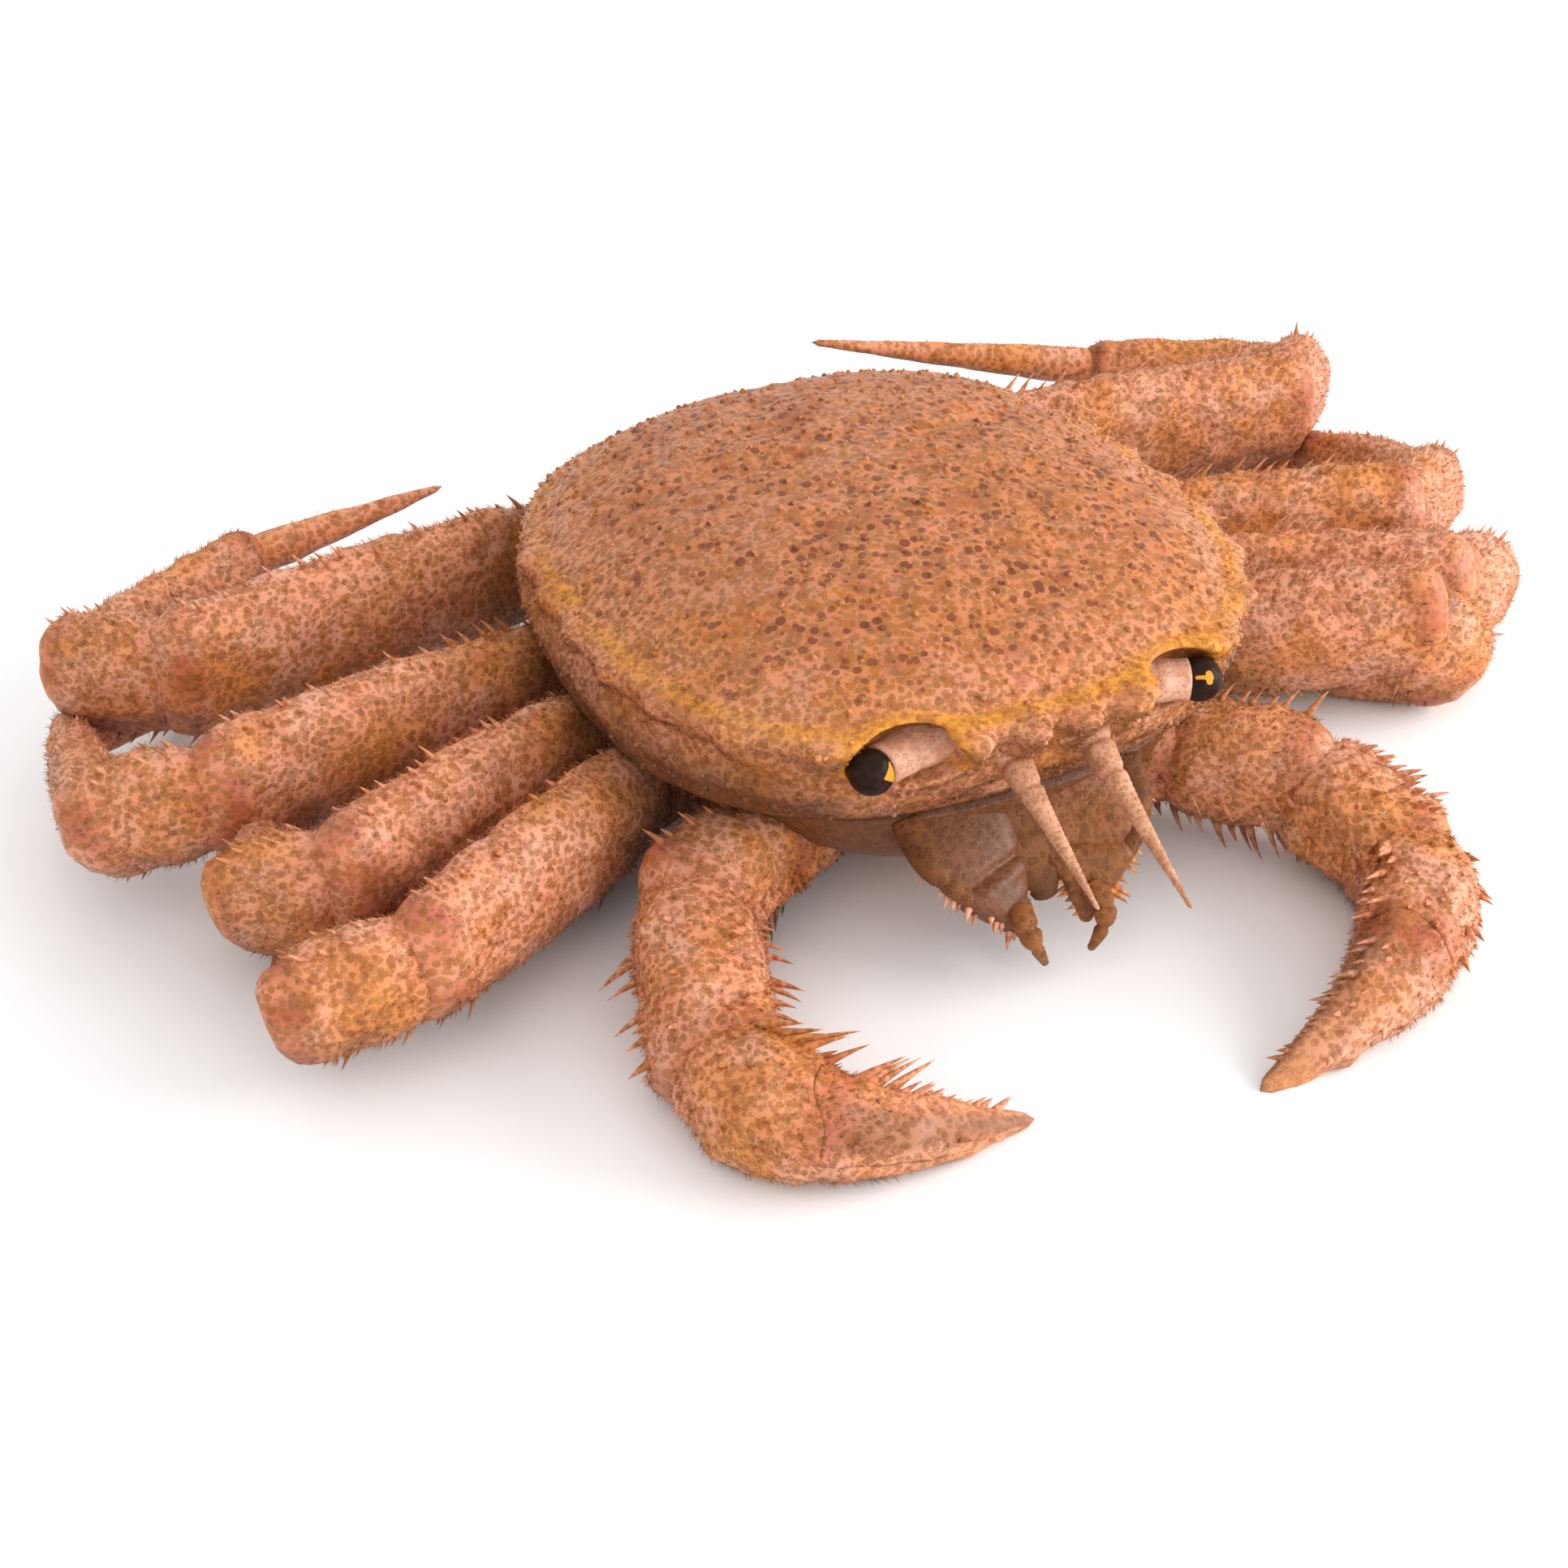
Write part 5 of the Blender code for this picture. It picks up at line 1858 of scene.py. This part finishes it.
        bm.from_mesh(mesh)
        bm.verts.ensure_lookup_table()
        reach = self.socket_reach(np.array([vert.co[:] for vert in bm.verts]))
        rim = [bm.verts[i] for i in np.flatnonzero((reach > 0.9) & (reach < 1.13))]
        for _ in range(8):
            bmesh.ops.smooth_vert(bm, verts=rim, factor=0.5, use_axis_x=True, use_axis_y=True,
                                  use_axis_z=True)
        bm.to_mesh(mesh)
        bm.free()
        return mesh

    def marks(self, points: Array, normals: Array) -> Marks:
        """The markings at places on the shield.

        Args:
            points: Places, as three columns.
            normals: The outward direction at each.

        Returns:
            The markings.
        """
        share, turn = outline_share(points)
        reach = self.socket_reach(points)
        ridge = ridge_height(turn)
        top = points[:, 2] > ridge - 0.6
        found = Marks.none(len(points))
        inner = hump((1 - share) * self.inwards, 0.9, 1.15) * top
        upper_wall = 0.2 * hump(points[:, 2] - ridge, 0.0, 0.5) * ~top
        patchy = 0.62 + 0.38 * soft_step(Ripple(14.0, 31).at(points), -0.8, 0.6)
        orbit = hump(reach, 1.1, 0.26) * (reach > 0.97) * (points[:, 2] > 31)
        ahead = soft_step(np.abs(turn), 2.5, 1.9)
        found.rim[:] = np.clip((inner + upper_wall) * patchy * (0.4 + 0.6 * ahead) + orbit, 0, 1)
        # Painted shade: a thin shadow under the ridge's bead, the wall darker lower down and on the
        # sides, the underside, and a little inside each socket.
        below = points[:, 2] - ridge
        beside = soft_step(np.abs(turn), 0.4, 0.8)
        crease_shade = 0.6 * hump(below, -1.3, 0.35) + 0.34 * soft_step(below, -0.6, -1.6)
        low = soft_step(below, -2.0, -10.0) * (0.1 + 0.5 * beside) + crease_shade * ~top * beside
        under = soft_step(-normals[:, 2], 0.1, 0.8)
        socket = soft_step(reach, 1.02, 0.97)
        found.shade[:] = np.clip(low + under + 0.1 * socket, 0, 1)
        found.dusk[:] = np.where(top, 0.55 + 0.45 * soft_step(1 - share, 0.03, 0.3), 0.35)
        inside = 0.78 * soft_step(1 - share, 0.02, 0.12) * top
        found.bare[:] = np.clip(socket * 2 + soft_step(points[:, 2], 22.6, 21.4) + inside, 0, 1)
        return found

    def flow(self, points: Array, normals: Array) -> Array:
        """The bristles lie outwards from the crown, and a little ahead."""
        out = points * (1.0, 1.0, 0.0) + (0.0, -14.0, 0.0)
        return unit(out)

    def unwrap(self, points: Array) -> Array:
        """The shield opened flat from its crown: the back inside, the wall round it.

        Args:
            points: Places, as three columns.

        Returns:
            Two columns, from 0 to 1.
        """
        share, turn = outline_share(points)
        down = np.clip((ridge_height(turn) - points[:, 2]) / 12.0, 0, 1)
        top = points[:, 2] > ridge_height(turn) - 0.3
        radius = np.where(top, 0.38 * np.clip(share, 0, 1), 0.38 + 0.10 * down)
        return 0.5 + np.stack((radius * np.sin(turn), -radius * np.cos(turn)), axis=-1)

    def edge_teeth(self, draw: np.random.Generator) -> list:
        """The teeth along the ridge, in a large row with small ones between.

        Args:
            draw: The source of chance.

        Returns:
            Rows as spines gives them.
        """
        rows = []
        for which in Side:
            for degrees, length, width in (
                *((d, 3.3, 2.2) for d in self.teeth),
                *((d, 1.5, 1.2) for d in np.arange(*self.small_teeth)),
                *((d, 1.6, 1.2) for d in np.arange(*self.rear_teeth)),
            ):
                turn = np.radians([degrees + draw.uniform(-1, 1)]) * which.value
                one = np.ones(1)
                root = np.column_stack((outline(turn, one, one, one), ridge_height(turn)))
                out = unit(root * (1.1, 1.0, 0.0))
                lean = (0, -0.45, 0.12) if degrees < 118 and length > 3 else (0, -0.2, 0.2)
                size = np.array([length * draw.uniform(0.85, 1.1)])
                bend = one[:, None] * 0.0 + UP * 0.25
                rows.append((root, unit(out + lean), size, np.array([width]), bend))
        return rows

    def build(self) -> None:
        """Makes the shield's pieces."""
        draw = np.random.default_rng(SEED)
        mesh = self.shell()
        surface = Surface.of(mesh)
        add_marks(mesh, self.marks(surface.points, surface.normals).layers())
        self.bench.finish("carapace", mesh, SHELL, "shell", "carapace")
        teeth = spine_mesh("carapace_teeth", self.edge_teeth(draw), self.marks, 0.8)
        self.bench.finish(teeth.name, teeth, SPINE, "shell")
        self.grow_grains(surface, draw)
        for place, name in enumerate(("carapace_coat_back", "carapace_coat_wall")):
            share, _ = outline_share(surface.points)
            high = (share < 0.86) & (surface.points[:, 2] > 30)
            wanted = high if place == 0 else ~high
            part = Surface(surface.points, surface.normals,
                           surface.triangles[wanted[surface.triangles].all(axis=1)])
            tufts = Tufts()
            tufts.gather(part, self.spacing, self.bristle, self.marks, self.flow, self.unwrap, draw)
            coat = tufts.mesh(name, self.bench, draw)
            self.bench.finish(name, coat, BRISTLE, "shell")
        for which in Side:
            self.build_stalk(which)

    def grow_grains(self, surface: Surface, draw: np.random.Generator) -> None:
        """The larger grains that stand up from the back and the wall.

        Args:
            surface: The shield.
            draw: The source of chance.
        """
        roots, normals = surface.scatter(self.grain_spacing, draw)
        chosen = draw.random(len(roots)) < self.grain_share
        keep = (self.socket_reach(roots) > 1.05) & chosen & (roots[:, 2] > 23)
        roots, normals = roots[keep], normals[keep]
        count = len(roots)
        widths = draw.uniform(0.6, 1.1, count)
        grains = Growth(roots, unit(normals + (0, -0.25, 0)), widths * 0.55, widths,
                        np.zeros((count, 3)), sides=7,
                        levels=((-0.5, 1.15), (0.1, 1.0), (0.55, 0.75), (0.88, 0.4)))
        mesh = grains.mesh("carapace_grains")
        add_marks(mesh, self.marks(roots, normals).layers(), grains.per_spike)
        self.bench.finish(mesh.name, mesh, SPINE, "shell")

    def build_stalk(self, which: Side) -> None:
        """Makes the short stalk that carries one eye.

        Args:
            which: The side of the crab.
        """
        path = np.array((which.of(STALK_FOOT), which.of(EYE)))
        tube = Tube(path, STALK_SECTIONS)
        length = tube.length
        rows = np.linspace(0.0, 0.86, 22)
        swell = -0.22 * hump(rows * length, 5.2, 0.6)
        body = ((along, 0.0, 1.0, rise) for along, rise in zip(rows, swell))
        stack = [(0.0, -0.5, 0.0, 0.0), *body, (0.88, 0.0, 0.0, 0.0)]
        made = lathe(f"eyestalk_{which.letter}", tube, np.array(stack), 32)
        self.bench.finish(made.name, made, STALK, "feeler")


def lathe(name: str, tube: Tube, rows: Array, around: int) -> Mesh:
    """A closed mesh along a tube.

    Args:
        name: The name of the mesh.
        tube: The tube.
        rows: The share along, distance past it, scale and swell of each ring.
        around: The number of points round it.

    Returns:
        The mesh, in millimetres, with a layer of shade for its lower side.
    """
    mesh, turn, row = ball_mesh(name, around, len(rows) - 1)
    along, past, scale, swell = rows[row].T
    points = tube.skin(along, turn, past, scale, swell * (scale > 0.02))
    points[:, 2] = np.maximum(points[:, 2], 0.0)
    mesh = settle(mesh, points)
    surface = Surface.of(mesh)
    add_marks(mesh, {"shade": soft_step(-surface.normals[:, 2], 0.1, 0.9) * 0.6})
    return mesh


def tube_rows(tube: Tube, count: int, rings: Sequence[tuple[float, float, float]]) -> Array:
    """Rings for a tube with closed round ends.

    Args:
        tube: The tube.
        count: The number of rings along it.
        rings: For each collar or groove, its share along, its swell and its width in millimetres.

    Returns:
        The rows that lathe takes.
    """
    along = np.linspace(0.0, 1.0, count)
    swell = np.zeros(count)
    for place, rise, width in rings:
        swell += rise * hump((along - place) * tube.length, 0.0, width)
    rows = [(0.0, -0.6, 0.0, 0.0), *((a, 0.0, 1.0, s) for a, s in zip(along, swell))]
    rows += [(1.0, 0.3, 0.6, 0.0), (1.0, 0.45, 0.0, 0.0)]
    return np.array(rows)


@dataclass
class Face:
    """The eyes, the feelers and the plates in front of the mouth."""

    bench: Bench
    feeler: tuple = ((0.0, 5.6, 5.2), (0.13, 5.2, 4.8), (0.26, 3.8, 3.6), (0.5, 2.4, 2.3),
                     (1.0, 0.5, 0.5))
    short_feeler: tuple = ((0.9, -47.0, 30.2), (2.6, -51.0, 33.0))
    inner_mouth: tuple = ((0.0, -41.0, 19.5), (0.0, -46.5, 13.5), (0.0, -51.5, 8.5))
    plate: tuple = ((9.4, -41, 19), (7.6, -48.5, 13), (4.0, -55, 6))
    branch: tuple = ((15.8, -42.5, 19.5), (14.4, -48.6, 15.5), (9.6, -53.5, 11.0))
    palp: tuple = ((5.2, -53.8, 9.6), (5.4, -57.2, 8.2), (3.4, -57.8, 3.6))

    FEELERS = {
        Side.LEFT: ((6.4, -44.5, 31.5), (7.0, -72.0, 20.5)),
        Side.RIGHT: ((-4.8, -44.5, 31.5), (-4.2, -69.0, 22.0)),
    }
    # Direction and size of each eye's painted amber highlight.
    AMBER_HIGHLIGHT = {Side.RIGHT: ((0.40, -0.84, 0.27), 0.44), Side.LEFT: ((-0.22, -0.76, 0.61), 0.42)}
    # Painted shade over each whole mouth plate, heavier on the right one.
    PLATE_SHADE = {Side.RIGHT: 1.0, Side.LEFT: 0.7}

    def build(self) -> None:
        """Makes the face's pieces."""
        for which in Side:
            self.build_eye(which)
            self.build_feeler(which)
            self.build_mouth(which)
        self.build_inner_mouth()

    def build_inner_mouth(self) -> None:
        """Makes the dark inner mouthparts, which close the gap behind the two plates."""
        tube = Tube(np.array(self.inner_mouth), ((0.0, 15.0, 3.0), (0.6, 9.0, 3.0), (1.0, 3.0, 2.0)))
        made = lathe("inner_mouth", tube, tube_rows(tube, 40, [(0.4, -0.4, 0.6), (0.7, -0.3, 0.6)]), 32)
        self.bench.finish("inner_mouth", made, MOUTH, "underside")

    def build_eye(self, which: Side) -> None:
        """Makes one eye, with its painted amber highlight on the side that looks ahead and up.

        Args:
            which: The side of the crab.
        """
        centre = which.of(EYE)
        mesh = oval_mesh(f"eye_{which.letter}", centre, np.full(3, EYE_RADIUS), 56)
        surface = Surface.of(mesh)
        way, size = self.AMBER_HIGHLIGHT[which]
        way = unit(np.array(way))
        along = unit(np.cross(way, UP))
        over = np.cross(along, way)
        off = unit(surface.points - centre)
        x, y = (off * along).sum(axis=1) / size, (off * over).sum(axis=1) / size
        facing = (off * way).sum(axis=1) > 0
        if which is Side.RIGHT:
            inside = np.minimum(1 - np.abs(y) - 0.75 * (x + 0.4), x + 0.9)
        else:
            drop = 1.0 - np.hypot((x + 0.35) / 0.5, y / 0.85)
            bar = np.minimum(0.30 - np.abs(y - 0.1), np.minimum(1.2 - x, x + 0.3))
            inside = np.maximum(drop, bar)
        # The painted amber highlight: a wedge on the right eye, a drop with a bar on the left.
        add_marks(mesh, {"amber_highlight": soft_step(inside, -0.05, 0.25) * facing})
        self.bench.finish(f"eye_{which.letter}", mesh, EYE_GLOSS, "eye", f"eye_{which.letter}")

    def build_feeler(self, which: Side) -> None:
        """Makes one long feeler with its jointed base, and the short one beside it.

        Args:
            which: The side of the crab.
        """
        tube = Tube(np.array(self.FEELERS[which]), self.feeler)
        grooves = [(0.10, 0.15, 1.2), (0.19, -0.35, 0.5), (0.34, -0.3, 0.45)]
        grooves += [(place, -0.07, 0.24) for place in np.arange(0.40, 0.97, 0.028)]
        name = f"antenna_{which.letter}"
        made = lathe(name, tube, tube_rows(tube, 150, grooves), 30)
        self.bench.finish(name, made, FEELER, "feeler", name)
        small = Tube(which.of(self.short_feeler), ((0.0, 1.9, 1.9), (0.6, 1.5, 1.5), (1.0, 0.5, 0.5)))
        made = lathe(f"antennule_{which.letter}", small,
                     tube_rows(small, 26, [(0.35, -0.2, 0.35), (0.65, -0.15, 0.3)]), 16)
        self.bench.finish(made.name, made, FEELER, "feeler")

    def build_mouth(self, which: Side) -> None:
        """Makes the outer plate of the mouth on one side, its branch, its palp and its fringe.

        Args:
            which: The side of the crab.
        """
        plate = Tube(
            which.of(self.plate),
            ((0.0, 15.6, 5.0), (0.3, 14.4, 5.0), (0.6, 11.4, 4.6), (0.85, 5.6, 3.4), (1.0, 1.4, 1.2)),
            power=3.4)
        name = f"maxilliped_{which.letter}"
        rows = tube_rows(plate, 70, [(0.52, -0.6, 0.7), (0.62, 0.25, 0.8), (0.8, -0.35, 0.5)])
        made = lathe(name, plate, rows, 56)
        found = Marks.none(len(made.vertices))
        # The plate is darkened all over with painted shade.
        found.shade[:] = self.PLATE_SHADE[which]
        found.dusk[:] = 0.5
        made.attributes.remove(made.attributes["shade"])
        add_marks(made, found.layers())
        self.bench.finish(name, made, SHELL, "underside", name)
        outer = 180 if which is Side.LEFT else 0
        draw = np.random.default_rng(SEED + 70 + which.value)
        rows = [spines(plate, draw, outer, 0.15, 0.95, 16, 1.9, 1.0, 0.5, 8),
                spines(plate, draw, 180 - outer, 0.45, 0.98, 14, 1.6, 0.8, 0.5, 8)]
        fringe = spine_mesh(f"{name}_fringe", rows, lambda points, _: Marks.none(len(points)))
        self.bench.finish(fringe.name, fringe, SPINE, "underside")
        branch = Tube(which.of(self.branch),
                      ((0.0, 4.2, 3.2), (0.4, 4.6, 3.4), (0.8, 2.4, 2.2), (1.0, 0.8, 0.8)))
        made = lathe(f"{name}_branch", branch, tube_rows(branch, 40, [(0.6, -0.3, 0.5)]), 28)
        self.bench.finish(made.name, made, MOUTH, "underside")
        palp = Tube(which.of(self.palp), ((0.0, 3.4, 3.0), (0.5, 3.0, 2.8), (1.0, 1.0, 1.0)))
        rows = tube_rows(palp, 40, [(0.38, -0.4, 0.45), (0.7, -0.35, 0.4)])
        made = lathe(f"{name}_palp", palp, rows, 24)
        self.bench.finish(made.name, made, MOUTH_PLATE, "underside")


@dataclass
class Underside:
    """The lower body with the sutures between the limbs, and the tail plate folded under it."""

    bench: Bench
    sutures: tuple = (-17.0, -5.0, 6.5, 18.0, 29.0)
    tail: tuple = ((43.6, 19.6), (42.2, 14), (37.5, 8.2), (30, 4.4), (16, 3.3), (0, 3.2), (-14, 3.3))
    tail_widths: tuple = (24, 23, 20, 17, 13, 9, 4)
    tail_height: float = 2.6
    tail_grooves: tuple = (0.1, 0.2, 0.32, 0.45, 0.6, 0.78)

    def build(self) -> None:
        """Makes the pieces of the underside."""
        self.build_body()
        self.build_tail()

    def build_body(self) -> None:
        """Makes the lower body, grooved between the roots of the limbs."""
        places = (0.0, 0.25, 0.55, 1.0)
        foot, roof = np.linspace(0.0, 1.0, 14)[:-1], np.linspace(1.0, 0.0, 6)[1:]
        share = np.concatenate((foot, np.ones(30), roof))
        climb = np.concatenate((np.zeros(13), np.linspace(0.0, 1.0, 30), np.ones(5)))
        mesh, turn, row = ball_mesh("sternum", 160, len(share) - 1)
        widths = {
            "side": table(places, (0.52, 0.64, 0.82, 0.90), 0.05)(climb),
            "front": table(places, (0.66, 0.76, 0.88, 0.90), 0.05)(climb),
            "rear": table(places, (0.58, 0.70, 0.82, 0.88), 0.05)(climb),
        }
        scale = np.maximum(share, 1e-4)
        flat = outline(turn, *(widths[key][row] * scale[row] for key in widths))
        height = np.interp(climb, places, (5.0, 8.0, 14.5, 20.7))
        points = np.column_stack((flat, height[row]))
        x, y = np.abs(points[:, 0]), points[:, 1]
        suture = sum(hump(y + 0.22 * x, at, 1.1) for at in self.sutures)
        points[:, 2] += 0.9 * suture * (climb[row] < 0.5) * soft_step(x, 3.0, 7.0)
        trough = hump(x, 0.0, 2.0) * (climb[row] < 0.1) * (y > -20)
        points[:, 2] += 0.8 * trough
        mesh = settle(mesh, points)
        surface = Surface.of(mesh)
        # Painted shade where the body lies under the carapace: at the front, on its upper part and on
        # faces that look up; also darker along the sutures.
        front = hump(surface.points[:, 1], -44.0, 16.0) * (surface.points[:, 2] > 8.0)
        upper = 0.75 * soft_step(surface.points[:, 2], 10.0, 15.0)
        shade = 0.5 * soft_step(-surface.normals[:, 2], 0.2, -0.6) + 0.4 * suture + front + upper
        found = Marks.none(len(surface.points))
        found.shade[:] = np.clip(shade, 0, 1)
        found.dusk[:] = 0.4
        add_marks(mesh, found.layers())
        self.bench.finish("sternum", mesh, SHELL, "underside", "sternum")

    def build_tail(self) -> None:
        """Makes the folded tail plate, with a groove between its rings."""
        path = np.array([(0, y, z) for y, z in self.tail])
        steps = np.linalg.norm(np.diff(path, axis=0), axis=1).cumsum()
        shares = (0.0, *(steps / steps[-1]))
        heights = (self.tail_height,) * len(self.tail)
        tube = Tube(path, tuple(zip(shares, self.tail_widths, heights)), power=4.0)
        grooves = [(place, -0.45, 0.5) for place in self.tail_grooves]
        made = lathe("pleon", tube, tube_rows(tube, 110, grooves), 48)
        self.bench.finish("pleon", made, UNDERSIDE, "underside", "pleon")


@dataclass
class Studio:
    """The pale floor, the soft lights and the camera at the photograph's angle."""

    bench: Bench
    azimuth: float = -24.7
    elevation: float = 37.8
    distance: float = 300.0
    target: tuple = (-24.2, -23.7, 15.0)
    focal_pixels: float = 2805.2
    picture: float = 1932.0
    sensor: float = 36.0
    daylight: float = 0.96

    LAMP_SIZES = {"key": 0.45, "fill": 0.5, "front": 0.5, "back": 0.5}
    LAMPS = {
        "key": ((-0.35, -0.22, 0.62), 0.4), "fill": ((0.60, -0.30, 0.25), 4.8),
        "front": ((0.15, -0.62, 0.22), 1.0), "back": ((0.10, 0.60, 0.45), 0.5),
    }

    def build(self) -> None:
        """Makes the floor, the lights and the camera."""
        self.build_floor()
        self.build_lights()
        self.build_camera()

    def build_floor(self) -> None:
        """Makes the floor and marks it as no part of the crab."""
        bm = bmesh.new()
        bmesh.ops.create_grid(bm, x_segments=1, y_segments=1, size=3.0)
        mesh = to_mesh(bm, "floor")
        mesh.materials.append(FloorFinish("pale_floor").material())
        floor = add_object("floor", mesh)
        floor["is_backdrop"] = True

    def build_lights(self) -> None:
        """Makes a bright even room with four large soft lamps."""
        world = bpy.data.worlds.new("studio")
        world.use_nodes = True
        world.node_tree.nodes["Background"].inputs["Color"].default_value = (1.0, 1.0, 1.0, 1.0)
        world.node_tree.nodes["Background"].inputs["Strength"].default_value = self.daylight
        bpy.context.scene.world = world
        bpy.context.scene.view_settings.view_transform = "Standard"
        for name, (place, power) in self.LAMPS.items():
            light = bpy.data.lights.new(name, "AREA")
            light.size = self.LAMP_SIZES[name]
            light.energy = power
            lamp = add_object(name, light)
            lamp.location = place
            lamp.rotation_euler = Vector(place).to_track_quat("Z", "Y").to_euler()

    def build_camera(self) -> None:
        """Makes the camera where the photograph was seen from."""
        azimuth, elevation = math.radians(self.azimuth), math.radians(self.elevation)
        back = np.array((math.sin(azimuth) * math.cos(elevation),
                         -math.cos(azimuth) * math.cos(elevation), math.sin(elevation)))
        data = bpy.data.cameras.new("camera")
        data.sensor_width = self.sensor
        data.lens = self.focal_pixels / self.picture * self.sensor
        data.clip_start = 0.01
        camera = add_object("camera", data)
        camera.location = self.bench.row(np.array(self.target) + back * self.distance)
        camera.rotation_euler = Vector(back).to_track_quat("Z", "Y").to_euler()
        bpy.context.scene.camera = camera


def main() -> None:
    """Builds the crab in order."""
    logging.basicConfig(level=logging.INFO, format="%(name)s: %(message)s")
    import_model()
    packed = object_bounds()
    bench = Bench.from_eyes()
    Studio(bench).build()
    Carapace(bench).build()
    Underside(bench).build()
    Face(bench).build()
    for side in Side:
        ClawLimb(side, bench).build()
        for number in LEGS:
            WalkingLeg(number, side, bench).build()
    sizes = [[list(corner) for corner in box] for box in (packed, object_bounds())]
    LOG.info("%d pieces", bench.count)


if __name__ == "__main__":
    main()
